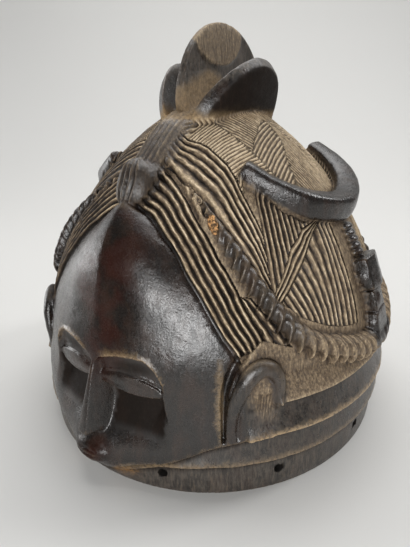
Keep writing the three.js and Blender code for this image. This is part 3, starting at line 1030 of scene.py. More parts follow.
@dataclass(frozen=True)
class Locks:
    """The knot over each forehead, the ridge behind it, the ropes and the horseshoes."""

    knot_centre: Triple = (0.0, -83.0, 173.5)
    knot_radii: Triple = (12.5, 11.0, 16.5)
    knot_tilt: float = 25 * DEG
    knot_fullness: float = 2.5
    ridge: Sequence[Triple] = ((0, 176, 1), (0, 190, 1), (0, 203, 0), (0, 214, -5))
    rope: Curve = ((20, 175.5), (24.5, 171), (28.7, 165.5), (33, 156.5), (36.8, 148.5), (40, 140),
                   (43, 131), (45.8, 122.5), (48.6, 114), (51.4, 106), (55, 98), (61, 89.5),
                   (68, 83), (78, 76), (90, 73))
    rope_half: Curve = ((0, 1.8), (0.04, 2.6), (0.09, 4.2), (0.15, 6.0), (0.24, 7.0), (0.31, 7.8),
                        (0.37, 8.6), (0.5, 8.8))
    rope_pitch: Curve = ((0, 7.6), (0.25, 8.2), (0.5, 7.8))
    rope_slant: float = 0.58
    # Each horseshoe's front half and back half, as angle, radius and height
    horseshoe: Sequence[Triple] = ((46, 69, 182), (58, 79, 171), (72, 90, 162), (90, 95, 158))
    horseshoe_back: Sequence[Triple] = ((46, 73, 185), (58, 84, 175), (72, 92, 165))
    horseshoe_tip: float = 42 * DEG
    horseshoe_squareness: float = 3.6
    left_inset: float = 4.0

    def knot(self, ball: Array) -> Array:
        """Shape the knot, combed over from the top, with one plain facet.

        Args:
            ball: The sphere's vertices.

        Returns:
            The new places in millimetres.
        """
        full = (np.abs(ball) ** self.knot_fullness).sum(axis=1) ** (-1 / self.knot_fullness)
        round_turn = np.degrees(np.arctan2(ball[:, 0], -ball[:, 1]))
        phase = (round_turn + 22 * ball[:, 2] ** 2) / 19
        comb = notch(phase, 1.6) * rise(0.99, 0.8, np.abs(ball[:, 2]))
        comb = comb * rise(34, 26, round_turn) * rise(-105, -90, round_turn)
        facet = 0.10 * rise(24, 34, round_turn) * rise(100, 80, round_turn)
        size = full * (1 - 0.17 * comb - facet)
        knot = ball * size[:, None] * np.array(self.knot_radii)
        tilt = self.knot_tilt
        y = knot[:, 1] * math.cos(tilt) + knot[:, 2] * math.sin(tilt)
        z = knot[:, 2] * math.cos(tilt) - knot[:, 1] * math.sin(tilt)
        return np.column_stack([knot[:, 0], y, z]) + np.array(self.knot_centre)

    def rope_path(self) -> Array:
        """Draw the right rope, from the front knot over the side to the back one.

        Returns:
            The rope's middle line.
        """
        angle, z = np.array(self.rope).T
        front = DOME.point(angle, z, mix(2.2, 0.8, rise(70, 183, z)))
        back = front[:-1][::-1] * (1, -1, 1)
        return smooth_path(np.vstack([front, back]), 600)

    def strands(self, along: Array, length: float, across: Array) -> Array:
        """Count the rope's strands.

        Args:
            along: The share of the rope's length.
            length: The rope's length in millimetres.
            across: From -1 on its lower edge to 1 on its upper one.

        Returns:
            The phase: a whole number on each ridge between two strands.
        """
        steps = np.linspace(0, 0.5, 400)
        each = np.diff(steps) * length / read(self.rope_pitch, steps[1:])
        counted = np.concatenate([[0], np.cumsum(each)])
        near = np.minimum(along, 1 - along)
        count = np.interp(near, steps, counted)
        return count + self.rope_slant * across

    def rope_tube(self) -> Tube:
        """Twist the rope.

        Returns:
            The rope as a rod.
        """
        path = self.rope_path()
        length = float(np.linalg.norm(np.diff(path, axis=0), axis=1).sum())

        def section(along: Array, turn: Array) -> tuple[Array, Array]:
            """Scoop the strands out of the rope.

            Args:
                along: The share of the length.
                turn: The angle round the section.

            Returns:
                Half its width and half its depth.
            """
            near = np.minimum(along, 1 - along)
            across = -np.cos(turn)
            phase = self.strands(along, length, across)
            middle = 1 - np.abs(2 * (phase - np.floor(phase)) - 1)
            scoop = mix(middle**2.4, 1 - (1 - middle) ** 2.2, rise(0.5, -0.2, across))
            deep = mix(0.66, 0.26, rise(0.27, 0.36, near)) * (0.72 - 0.28 * across)
            dimple = 0.40 * bell(across, -0.72, 0.30) * rise(0.27, 0.33, near) * middle
            fine = 0.08 * notch(phase * 3, 1.6) * rise(0.27, 0.35, near)
            half = read(self.rope_half, near) * (1.08 - deep * scoop - dimple - fine)
            return half, half

        return Tube(path, section, cap=4, rows=1100, columns=64)

    def horseshoe_path(self) -> Array:
        """Draw the right horseshoe, from its front end round to the back one.

        Returns:
            The horseshoe's middle line.
        """
        halves = [
            np.array([
                (math.sin(a * DEG) * r, -math.cos(a * DEG) * r * DOME.front_stretch, z)
                for a, r, z in corners
            ])
            for corners in (self.horseshoe, self.horseshoe_back)
        ]
        return smooth_path(np.vstack([halves[0], halves[1][::-1] * (1, -1, 1)]), 300)

    def horseshoe_tube(self) -> Tube:
        """Bend the horseshoe, thick in the middle and blunt at its ends.

        Returns:
            The horseshoe as a rod.
        """

        def section(along: Array, turn: Array) -> tuple[Array, Array]:
            """Square the section, with one corner up.

            Args:
                along: The share of the length.
                turn: The angle round the section.

            Returns:
                Half its width and half its depth.
            """
            full = np.sin(math.pi * np.clip(along, 0, 1))
            tipped = turn - self.horseshoe_tip
            power = self.horseshoe_squareness
            square = (np.abs(np.cos(tipped)) ** power + np.abs(np.sin(tipped)) ** power) ** (-1 / power)
            return mix(7.4, 8.6, full) * square, mix(7.2, 8.6, full) * square

        return Tube(self.horseshoe_path(), section, cap=1.4, rows=260, columns=60, cap_share=0.04)

    def ridge_tube(self) -> Tube:
        """Raise the combed ridge between the knot and the fin.

        Returns:
            The ridge as a rod.
        """
        angle, z, out = np.array(self.ridge).T

        def section(along: Array, turn: Array) -> tuple[Array, Array]:
            """Comb the ridge, and leave one plain facet on each side.

            Args:
                along: The share of the length; not used.
                turn: The angle round the section.

            Returns:
                Half its width and half its depth.
            """
            phase = np.degrees(turn) / 17
            comb = 1 - 0.14 * notch(phase, 1.6) * rise(0.55, 0.4, np.cos(turn))
            facet = 1 - 0.12 * rise(0.45, 0.6, np.cos(turn)) * rise(1.0, 0.9, np.cos(turn))
            return 14.0 * comb * facet, 9.0 * comb * facet

        return Tube(smooth_path(DOME.point(angle, z, out)), section, cap=3, rows=80, columns=160)

    def meshes(self) -> list[Mesh]:
        """Make every lock.

        Returns:
            The locks on all sides.
        """
        made = mirrored(sphere_of(150, 110, self.knot), Copies.FRONT_BACK)
        made += mirrored(self.ridge_tube().mesh(), Copies.FRONT_BACK)
        made += mirrored(self.rope_tube().mesh(), Copies.LEFT_RIGHT)
        shoes = mirrored(self.horseshoe_tube().mesh(), Copies.LEFT_RIGHT)
        shoes[1].transform(Matrix.Translation((self.left_inset * MM, 0, 0)))
        return made + shoes


@dataclass(frozen=True)
class Charm:
    """One packet of the column: its middle's height, its size, and the bosses on it.

    A boss is given by its place on the outer face, or on the front side face where its first
    number is None, with its radius last.
    """

    z: float
    width: float
    height: float
    depth: float
    bosses: Sequence[tuple[float | None, float, float]]
    ridged: bool = False


@dataclass(frozen=True)
class Charms:
    """A strand of beads and three packets on each side, under the horseshoe."""

    packets: Sequence[Charm] = (
        Charm(115.5, 23, 21, 10.5, ((None, -1.5, 5.2),), ridged=True),
        Charm(98.5, 18, 14, 9.5, ((-2.0, 0.0, 4.6),)),
        Charm(84, 22, 16, 9.5, ((None, 0.0, 4.4),)),
    )
    root: float = 6.0
    bead_heights: Sequence[float] = (143.5, 139.7, 135.9, 132.1, 128.3)
    bead_radii: Triple = (4.6, 6.4, 2.4)

    def seat(self, charm: Charm) -> Matrix:
        """Give the turn and the place that seat a packet square to the dome.

        Args:
            charm: The packet.

        Returns:
            The move from millimetres to its seat.
        """
        place = DOME.point(np.array([90.0]), np.array([charm.z]))[0]
        radial, upward = DOME.lean(np.array([charm.z]))
        turn = Matrix.Rotation(-math.atan2(upward[0], radial[0]), 4, "Y")
        return Matrix.Scale(MM, 4) @ Matrix.Translation(Vector((place[0], 0, place[2]))) @ turn

    def block(self, charm: Charm) -> Mesh:
        """Make one packet's block, with worn edges and, on the ridged one, a raised middle.

        Args:
            charm: The packet.

        Returns:
            The block.
        """
        work = bmesh.new()
        bmesh.ops.create_cube(work, size=1)
        bmesh.ops.scale(work, vec=(charm.depth + self.root, charm.width, charm.height), verts=work.verts)
        bmesh.ops.translate(work, vec=((charm.depth - self.root) / 2, 0, 0), verts=work.verts)
        if charm.ridged:
            middle = [edge for edge in work.edges if abs(edge.verts[0].co.y - edge.verts[1].co.y) > 1]
            cut = bmesh.ops.subdivide_edges(work, edges=middle, cuts=1)
            for item in cut["geom_inner"]:
                if isinstance(item, bmesh.types.BMVert) and item.co.x > 0:
                    item.co.x += 2.4
        bmesh.ops.bevel(work, geom=work.edges[:], offset=1.3, affect="EDGES", segments=3, profile=0.5,
                        material=-1)
        return self.seated(work, charm)

    def boss(self, charm: Charm, across: float | None, up: float, radius: float) -> list[Mesh]:
        """Make one round boss: a ring with a bead in its middle.

        Args:
            charm: The packet that it is on.
            across: Its place across the outer face, or None for the side face.
            up: Its height over the middle.
            radius: Its radius.

        Returns:
            The ring and the bead.
        """
        made = []
        for share, thick in ((1.0, 0.34), (0.45, 0.62)):
            work = bmesh.new()
            bmesh.ops.create_uvsphere(work, u_segments=32, v_segments=16, radius=radius * share)
            for vert in work.verts:
                vert.co.x *= thick
            if across is None:
                seat = Vector((charm.depth - radius - 0.8, -charm.width / 2, up))
                bmesh.ops.rotate(work, matrix=Matrix.Rotation(math.pi / 2, 3, "Z"), verts=work.verts)
                bmesh.ops.translate(work, vec=seat, verts=work.verts)
            else:
                bmesh.ops.translate(work, vec=(charm.depth, across, up), verts=work.verts)
            made.append(self.seated(work, charm))
        return made

    def seated(self, work: Work, charm: Charm) -> Mesh:
        """Seat what has been made on its packet's place and turn it into a mesh.

        Args:
            work: What has been made, in millimetres.
            charm: The packet.

        Returns:
            The mesh, in metres.
        """
        bmesh.ops.transform(work, matrix=self.seat(charm), verts=work.verts)
        mesh = bpy.data.meshes.new("packet")
        work.to_mesh(mesh)
        work.free()
        return mesh

    def beads(self) -> list[Mesh]:
        """Make the strand's beads.

        Returns:
            The beads.
        """
        made = []
        for height in self.bead_heights:
            bead = sphere_of(32, 20, self.bead)
            seat = DOME.point(np.array([90.0]), np.array([height]), 2.4)[0]
            bead.transform(Matrix.Translation(seat * MM))
            made.append(bead)
        return made

    def bead(self, ball: Array) -> Array:
        """Flatten a sphere into a bead."""
        return ball * self.bead_radii

    def meshes(self) -> list[Mesh]:
        """Make both columns.

        Returns:
            Every bead, block and boss.
        """
        right = self.beads()
        for charm in self.packets:
            right.append(self.block(charm))
            for boss in charm.bosses:
                right += self.boss(charm, *boss)
        return [copy for mesh in right for copy in mirrored(mesh, Copies.LEFT_RIGHT)]


@dataclass(frozen=True)
class Cutters:
    """The bodies that are cut away: the hollow, the lacing holes and the eye slits."""

    hole_angles: Sequence[float] = (20.3, 51.0, 81.0)
    hole_radius: float = 2.7
    hole_height: float = 13.5
    slit_angle: float = 16.5
    slit_height: float = 61.0
    slit_size: Span = (14.0, 2.4)
    reach: float = 60.0

    def hollow(self, ball: Array) -> Array:
        """Shape the hollow, left from the gouge, with its mouth well below the rim.

        Args:
            ball: The sphere's vertices.

        Returns:
            The new places in millimetres.
        """
        share, turn = around(ball)
        wide = DOME.rim_radius - DOME.wall
        foot = 0.2
        up = np.clip((share - foot) / (1 - foot), 0, 1)
        z = DOME.cavity_height * np.sin(up * math.pi / 2)
        r = wide * (1 - (z / DOME.cavity_height) ** DOME.fullness) ** DOME.taper
        below = np.clip(share / foot, 0, 1)
        r = np.where(share < foot, wide * np.minimum(below * 1.4, 1), r)
        z = np.where(share < foot, -12 + 12 * np.clip((below - 0.7) / 0.3, 0, 1), z)
        x = r * np.cos(turn)
        y = r * np.sin(turn) * DOME.front_stretch
        worked = 0.7 * rough(np.column_stack([x, y, z]), 18, 2) * (z > 0)
        edge = 1.2 * rise(3, 0, z)
        return np.column_stack([x + (worked + edge) * np.cos(turn), y + (worked + edge) * np.sin(turn), z])

    def drill(self, angle: float, x: int, y: int) -> Mesh:
        """Make the drill of one lacing hole, at an angle from a face.

        Args:
            angle: Degrees from the middle of the face.
            x: The sign of X.
            y: The sign that picks the face.

        Returns:
            The drill.
        """
        work = bmesh.new()
        bmesh.ops.create_cone(work, cap_ends=True, segments=24, radius1=self.hole_radius * MM,
                              radius2=self.hole_radius * MM, depth=self.reach * MM)
        bmesh.ops.rotate(work, matrix=Matrix.Rotation(math.pi / 2, 3, "X"), verts=work.verts)
        turn = Matrix.Rotation(angle * DEG, 4, "Z")
        ahead = Matrix.Translation(Vector((0, -DOME.rim_radius * MM, self.hole_height * MM)))
        bmesh.ops.transform(work, matrix=Matrix.Diagonal((x, y * DOME.front_stretch, 1, 1)) @ turn @ ahead,
                            verts=work.verts)
        return self.finished(work)

    def slit(self, x: int, y: int) -> Mesh:
        """Make the saw of one eye slit.

        Args:
            x: The sign of X.
            y: The sign that picks the face.

        Returns:
            The saw.
        """
        work = bmesh.new()
        bmesh.ops.create_cube(work, size=1)
        size = Vector((self.slit_size[0], self.reach, self.slit_size[1]))
        bmesh.ops.scale(work, vec=size * MM, verts=work.verts)
        turn = Matrix.Rotation(self.slit_angle * DEG, 4, "Z")
        place = Vector((0, -DOME.rim_radius * DOME.front_stretch, self.slit_height))
        ahead = Matrix.Translation(place * MM)
        bmesh.ops.transform(work, matrix=Matrix.Diagonal((x, y, 1, 1)) @ turn @ ahead, verts=work.verts)
        return self.finished(work)

    def finished(self, work: Work) -> Mesh:
        """Turn the faces outwards and make a mesh.

        Args:
            work: What has been made.

        Returns:
            The mesh.
        """
        bmesh.ops.recalc_face_normals(work, faces=work.faces)
        mesh = bpy.data.meshes.new("cutter")
        work.to_mesh(mesh)
        work.free()
        return mesh

    def make(self) -> list[bpy.types.Object]:
        """Make all the cutters.

        Returns:
            One object for each cutter.
        """
        made = [sphere_of(96, 56, self.hollow)]
        for x, y in Copies.ALL_QUARTERS.value:
            made.append(self.slit(x, y))
            made += [self.drill(angle, x, y) for angle in self.hole_angles]
        return [as_object(mesh) for mesh in made]


@dataclass(frozen=True)
class Mask:
    """The carved body: its parts joined, carved, thinned, hollowed and marked for its finish."""

    face: Face = Face()
    rings: NeckRings = NeckRings()
    ear: Ear = Ear()
    hair: Hair = Hair()
    crest: Crest = Crest()
    locks: Locks = Locks()
    charms: Charms = Charms()
    cutters: Cutters = Cutters()
    base_share: float = 0.07
    body_faces: tuple[int, int] = (1200, 420)
    fine_voxel: float = 0.55
    quick_voxel: float = 1.4
    budget: int = 184000
    # The whole surface's unevenness from the tools: size of its waves and their height
    tool_waves: Sequence[Span] = ((15.0, 0.22), (3.4, 0.10))

    def body(self, ball: Array) -> Array:
        """Shape the dome with its faces, ears and neck rings.

        Args:
            ball: The sphere's vertices.

        Returns:
            The new places in millimetres.
        """
        share, turn = around(ball)
        heights = np.linspace(0, DOME.height, 2000)
        run = np.concatenate([[0], np.cumsum(np.hypot(np.diff(heights), np.diff(DOME.radius(heights))))])
        up = np.clip((share - self.base_share) / (1 - self.base_share), 0, 1)
        z = np.interp(up * run[-1], run, heights)
        angle = np.degrees(turn)
        near, _, _ = DOME.locate(DOME.point(angle, np.minimum(z, 100.0)))
        out = self.relief(near, z) * rise(DOME.height, DOME.height - 12, z)
        points = DOME.point(angle, z, out)
        on_base = share < self.base_share
        points[on_base, :2] *= (share[on_base] / self.base_share)[:, None]
        points[on_base, 2] = 0
        points[:, 2] = np.maximum(points[:, 2], 0)
        return points

    def relief(self, angle: Array, z: Array) -> Array:
        """Blend the face into the hair and the neck.

        Args:
            angle: Degrees from the face's middle.
            z: The height.

        Returns:
            How far the carved surface stands out from the dome.
        """
        hairline = read_back(self.hair.hairline, z)
        jaw = read(self.face.jaw, angle)
        on_face = rise(0.5, -0.5, angle - hairline) * rise(-1.0, 0.2, z - jaw)
        face = self.face.relief(angle, z, hairline)
        hair = 2.0 * rise(70, 85, z)
        behind = np.maximum(self.rings.relief(angle, z) * rise(3, 30, angle), hair)
        chin = self.face.mouth(angle * DEG * DOME.rim_radius, z) * rise(24, 4, jaw - z)
        return mix(behind + chin, face, on_face) + self.ear.relief(angle, z)

    def block(self) -> bpy.types.Object:
        """Join every part into one closed body.

        Returns:
            The body, its parts still overlapping.
        """
        coarser = 1
        columns, rows = self.body_faces
        meshes = [sphere_of(columns // coarser, rows // coarser, self.body)]
        meshes += self.crest.meshes() + self.locks.meshes() + self.charms.meshes()
        meshes += mirrored(self.ear.tube().mesh(), Copies.ALL_QUARTERS)
        work = bmesh.new()
        for mesh in meshes:
            work.from_mesh(mesh)
            bpy.data.meshes.remove(mesh)
        bmesh.ops.recalc_face_normals(work, faces=work.faces)
        joined = bpy.data.meshes.new("mask_carving")
        work.to_mesh(joined)
        work.free()
        block = bpy.data.objects.new("mask_carving", joined)
        bpy.context.scene.collection.objects.link(block)
        return block

    def carve(self, mesh: Mesh) -> None:
        """Comb the hair, cut the thin lines and leave the surface as the tools did.

        Args:
            mesh: The welded body.
        """
        points = read_places(mesh) / MM
        angle, z, out = DOME.locate(points)
        near = rise(6.5, 4.0, out)
        cut = (self.hair.comb(points, angle, z)["out"] + self.hair.scars(points, angle, z)) * near
        on_face = angle < 33
        cut[on_face] += self.face.lines(angle[on_face], z[on_face]) * rise(20, 16, out[on_face])
        by_ear = self.ear.near(angle, z)
        cut[by_ear] += self.ear.lines(angle[by_ear], z[by_ear])
        worked = sum(height * rough(points, size) for size, height in self.tool_waves)
        cut += rise(0, 6, z) * worked
        normals = np.empty(3 * len(mesh.vertices))
        mesh.vertices.foreach_get("normal", normals)
        moved = points + normals.reshape(-1, 3) * cut[:, None]
        moved[moved[:, 2] < 0.4, 2] = 0
        write_places(mesh, moved * MM)

    def build(self) -> bpy.types.Object:
        """Build the whole mask.

        Returns:
            The finished body.
        """
        block = self.block()
        LOG.info("joined %d faces", len(block.data.polygons))
        weld = block.modifiers.new("weld", "REMESH")
        weld.mode = "VOXEL"
        weld.voxel_size = self.fine_voxel * MM
        apply_modifiers(block)
        LOG.info("remeshed %d faces", len(block.data.polygons))
        self.carve(block.data)
        Marks(self).hollows(block.data)
        thin = block.modifiers.new("thin", "DECIMATE")
        thin.ratio = min(1.0, self.budget / (2 * len(block.data.polygons)))
        apply_modifiers(block)
        LOG.info("thinned to %d faces", len(block.data.polygons))
        for cutter in self.cutters.make():
            cut = block.modifiers.new("cut", "BOOLEAN")
            cut.operation = "DIFFERENCE"
            cut.solver = "MANIFOLD"
            cut.object = cutter
            apply_modifiers(block)
            bpy.data.objects.remove(cutter)
        LOG.info("cut to %d faces", len(block.data.polygons))
        Marks(self).mark(block.data)
        block.data.polygons.foreach_set("use_smooth", [True] * len(block.data.polygons))
        return block


def as_object(mesh: Mesh) -> bpy.types.Object:
    """Put a mesh in the scene.

    Args:
        mesh: The mesh.

    Returns:
        Its object.
    """
    made = bpy.data.objects.new(mesh.name, mesh)
    bpy.context.scene.collection.objects.link(made)
    return made


def apply_modifiers(thing: bpy.types.Object) -> None:
    """Make the object's modifiers part of its mesh.

    Args:
        thing: The object.
    """
    bpy.context.view_layer.update()
    evaluated = thing.evaluated_get(bpy.context.evaluated_depsgraph_get())
    mesh = bpy.data.meshes.new_from_object(evaluated)
    thing.modifiers.clear()
    thing.data = mesh


@dataclass(frozen=True)
class Places:
    """The vertices as places in millimetres, and as angles, heights and distances over the dome."""

    points: Array
    angle: Array
    z: Array
    out: Array

    @property
    def up(self) -> Array:
        """Give the real heights."""
        return self.points[:, 2]

    @property
    def sideways(self) -> Array:
        """Give the distances from the plane between left and right."""
        return np.abs(self.points[:, 0])


@dataclass(frozen=True)
class Marks:
    """Marks on the vertices that tell the finish where it is.

    A span holds the two values between which a mark goes from nothing to full. A patch holds its
    middle, as an angle and a height, and half its width and height in millimetres.
    """

    mask: Mask
    smoothing: int = 12
    quick_smoothing: int = 3
    wall_outside: Span = (-12.5, -10.5)
    # Where the far side's hair is painted darker, as painted shade on that side
    far_side_shade: Span = (-10, -40)
    hair_foot: Span = (60, 64)
    rope_edge: Span = (9.5, 7.5)
    plait_start: Span = (0.5, 0.66)
    shoe_edge: Span = (12, 10.5)
    shoe_foot: Span = (3.2, 4.6)
    charm_side: Span = (82.5, 84)
    charm_low: Span = (66, 74)
    charm_high: Span = (150, 146)
    knot_edge: Span = (21, 17)
    ridge_edge: Span = (15, 12)
    ridge_low: Span = (178, 184)
    ridge_high: Span = (214, 208)
    crest_foot: Span = (209, 212)
    crest_out: Span = (2.0, 4.0)
    crest_clear: Span = (222, 226)
    fin_side: Span = (13, 11)
    disc_side: Span = (12, 10)
    rim_widens: Span = (214, 238)
    rim_edge: Span = (0.93, 0.98)
    rim_depth: Span = (5.0, 4.0)
    back_foot: Span = (207, 211)
    back_start: Span = (1.6, 2.8)
    edge_start: Span = (-0.6, 0.4)
    edge_end: Span = (4.2, 0.4)
    corner_fade: Span = (-6.5, -0.6)
    bore_edge: Span = (3.0, 2.72)
    helix_edge: Span = (5.6, 4.2)
    beside_ear: tuple[Span, Span] = ((35.2, 64), (2.4, 30))
    bare_by_ear: tuple[Span, Span] = ((44.6, 66), (13, 25))
    lobe: tuple[Span, Span] = ((46.6, 66), (9, 17))
    lips: tuple[Span, Span] = ((0, 23), (20, 12))
    forehead_red: tuple[Span, Span] = ((3, 112), (26, 62))
    under_jaw: tuple[Span, Span] = ((9.5, 9), (12, 6.5))
    over_lid: tuple[Span, Span] = ((12, 80), (18, 7))
    slit: tuple[Span, Span] = ((18.4, 61.4), (5.5, 2.0))

    def store(self, mesh: Mesh, name: str, values: Array) -> None:
        """Keep one number for each vertex under a name."""
        layer = mesh.attributes.get(name) or mesh.attributes.new(name, "FLOAT", "POINT")
        layer.data.foreach_set("value", values.astype(np.float32))

    def hollows(self, mesh: Mesh) -> None:
        """Measure how far each place stands above or below the places round it.

        Args:
            mesh: The carved body.
        """
        ends = np.empty(2 * len(mesh.edges), dtype=np.int32)
        mesh.edges.foreach_get("vertices", ends)
        one, other = ends.reshape(-1, 2).T
        places = read_places(mesh) / MM
        total = len(places)
        count = np.bincount(one, minlength=total) + np.bincount(other, minlength=total)
        smooth = places.copy()
        for _ in range(self.smoothing):
            for axis in range(3):
                values = smooth[:, axis]
                added = np.bincount(one, values[other], total) + np.bincount(other, values[one], total)
                smooth[:, axis] = added / np.maximum(count, 1)
        normals = np.empty(3 * len(mesh.vertices))
        mesh.vertices.foreach_get("normal", normals)
        self.store(mesh, "stands_out", ((places - smooth) * normals.reshape(-1, 3)).sum(axis=1))

    def locks(self, at: Places) -> dict[str, Array]:
        """Find the raised locks and packets.

        Args:
            at: The vertices.

        Returns:
            The share to which each vertex is on the plaited part of a rope, on its lumps, on a
            horseshoe, a charm packet, a knot and a ridge.
        """
        locks = self.mask.locks
        folded = fold(at.points)
        rope_gap, rope_along = distance_to(locks.rope_path()[:301:3], folded)
        rope = rise(*self.rope_edge, rope_gap) * (at.out > 2.6)
        braid = rope * rise(*self.plait_start, rope_along)
        beside = np.column_stack([at.sideways, at.points[:, 1:]])
        shoe_gap, _ = distance_to(locks.horseshoe_path()[::4], beside)
        knot_gap = np.linalg.norm((folded - locks.knot_centre) * (1.25, 1, 1), axis=1)
        charm = rise(*self.charm_side, at.angle) * (at.out > 3.2)
        ridge = rise(*self.ridge_edge, at.sideways) * (at.out > 2.5)
        return {
            "braid": braid,
            "lumps": rope - braid,
            "shoe": rise(*self.shoe_edge, shoe_gap) * rise(*self.shoe_foot, at.out),
            "charm": charm * rise(*self.charm_low, at.z) * rise(*self.charm_high, at.z),
            "knot": rise(*self.knot_edge, knot_gap) * (at.out > 2.5),
            "ridge": ridge * rise(*self.ridge_low, at.z) * rise(*self.ridge_high, at.up),
        }

    def crest(self, at: Places) -> dict[str, Array]:
        """Find the parts of the crest.

        Args:
            at: The vertices.

        Returns:
            The share to which each vertex is on the crest at all, on the fin's side, on its disc, on
            a petal's rim, which gets painted light, and on a petal's outer face, where shade is painted,
            and how much pale dust lies on it.
        """
        up, sideways, y = at.up, at.sideways, at.points[:, 1]
        whole = rise(*self.crest_foot, up) * rise(*self.crest_out, at.out)
        fin_side = rise(*self.fin_side, sideways)
        on_petal = sideways > self.fin_side[0]
        rim = np.hypot(y / 45.5, (up - 210) / 36) + 0.13 * rise(*self.rim_widens, up)
        rim = rise(*self.rim_edge, rim) * on_petal
        middle = 27 - 3.5 * (at.points[:, 0] < 0) + 0.25 * (up - 210)
        outward = sideways - middle + np.where(y < 0, 13, 4) * (y / 48) ** 2
        back = rise(*self.back_foot, up) * rise(*self.back_start, outward)
        foot = rise(206, 210, up) * rise(215, 211, up) * rise(6, 9, sideways)
        slope = (np.abs(y + 10) - 44) * -0.37 + 220
        valley = rise(6, 0, up - slope) * rise(209, 213, up) * fin_side * (np.abs(y) < 60)
        valley = np.maximum(valley, rise(221, 211, up) * rise(20, 12, sideways) * (up > 209))
        disc = self.mask.crest.on_disc(y, up) < 1
        return {
            "whole": np.maximum(whole, rise(*self.crest_clear, up)),
            "fin_side": fin_side,
            "disc": disc * rise(*self.disc_side, sideways) * (up > 236),
            "rim": rim * rise(*self.rim_depth, np.abs(outward)),
            # A petal's outer face gets painted shade
            "back": back * on_petal * (1 - rim) * (at.out > 3),
            "dust": 0.42 * foot + 0.62 * valley,
        }

    def neck(self, at: Places, on_neck: Array) -> dict[str, Array]:
        """Find the neck rings' edges.

        Args:
            at: The vertices.
            on_neck: The share to which each is on the neck.

        Returns:
            The share to which each vertex is on the lowest band, on a ring's lower edge and in the
            corner under one, where shade is painted.
        """
        edges = np.zeros(len(at.z))
        corner = np.zeros(len(at.z))
        behind_ear = rise(48, 50.5, at.angle)
        for line, weight in zip(self.mask.rings.lines(at.angle), (0.45, 1, behind_ear)):
            over = at.z - line
            edge = weight * rise(*self.edge_start, over) * rise(*self.edge_end, over)
            edges = np.maximum(edges, edge)
            # Painted shade in the corner under each ring's edge
            corner = np.maximum(corner, rise(*self.corner_fade, over) * (at.z < line - 0.5))
        return {
            "below": rise(1.5, -1.5, at.z - read(self.mask.rings.low, at.angle)) * on_neck,
            "edges": edges * on_neck * rise(2, 10, at.angle),
            "corner": corner * on_neck,
        }

    def face(self, at: Places, on_face: Array) -> dict[str, Array]:
        """Find the coloured places of the face.

        Args:
            at: The vertices.
            on_face: The share to which each is on the face.

        Returns:
            The share to which each vertex is on the brow's edge, where a highlight is painted, and on the
            worn bevel beside the ear, on the lips, on the reddish part, in the worn patch under the jaw, in
            an eye's recess, where shade is painted, and in a hole and an eye slit, painted black as shade.
        """
        face, angle, z = self.mask.face, at.angle, at.z
        over_brow = z - read(face.brow, angle) - 1.0
        arch = trench(over_brow, 1.7) * on_face * rise(2.5, 4, angle) * (angle < 20.8)
        beside_ear = spot(angle, z, *self.beside_ear) ** 0.5 * on_face
        lips = spot(angle, z, *self.lips) * on_face
        under_lid = rise(0.5, -0.5, z - read(face.lid_edge, angle)) * rise(34, 44, z)
        across = angle * DEG * DOME.rim_radius
        recess = on_face * under_lid * rise(21.4, 20.6, angle) * rise(9, 12, across)
        below_jaw = rise(1.5, -0.5, z - read(face.jaw, angle))
        # Holes and eye slits are painted black as shade
        hole_shade = rise(0.1, 0.5, spot(angle, z, *self.slit)) * on_face
        for place in self.mask.cutters.hole_angles:
            gap = np.hypot((angle - place) * DEG * DOME.rim_radius, z - self.mask.cutters.hole_height)
            hole_shade = np.maximum(hole_shade, rise(*self.bore_edge, gap))
        return {
            # The brow's edge gets a painted highlight; the bevel beside the ear is worn
            "worn": 0.42 * arch + 0.5 * beside_ear,
            "red": np.clip(spot(angle, z, *self.forehead_red), 0, 1) * on_face + 0.9 * lips,
            "amber": spot(angle, z, *self.under_jaw, -20) * below_jaw,
            # Painted shade in the eye's recess and under the brow
            "recess": recess + 0.75 * (spot(angle, z, *self.over_lid) * on_face),
            "hole_shade": hole_shade,
        }

    def ear(self, at: Places) -> tuple[Array, Array]:
        """Find the ear's raised rim and the dusty lobe inside it.

        Args:
            at: The vertices.

        Returns:
            The share to which each vertex is on the rim, and on the lobe.
        """
        ear = self.mask.ear
        gap, _ = distance_to(ear.tube().path[::4], fold(at.points))
        helix = rise(*self.helix_edge, gap) * rise(2.4, 3.4, at.out)
        there = ear.near(at.angle, at.z) & (at.angle > 36) & (at.z > 42)
        return helix, spot(at.angle, at.z, *self.lobe, -12) ** 0.5 * there * (1 - helix)

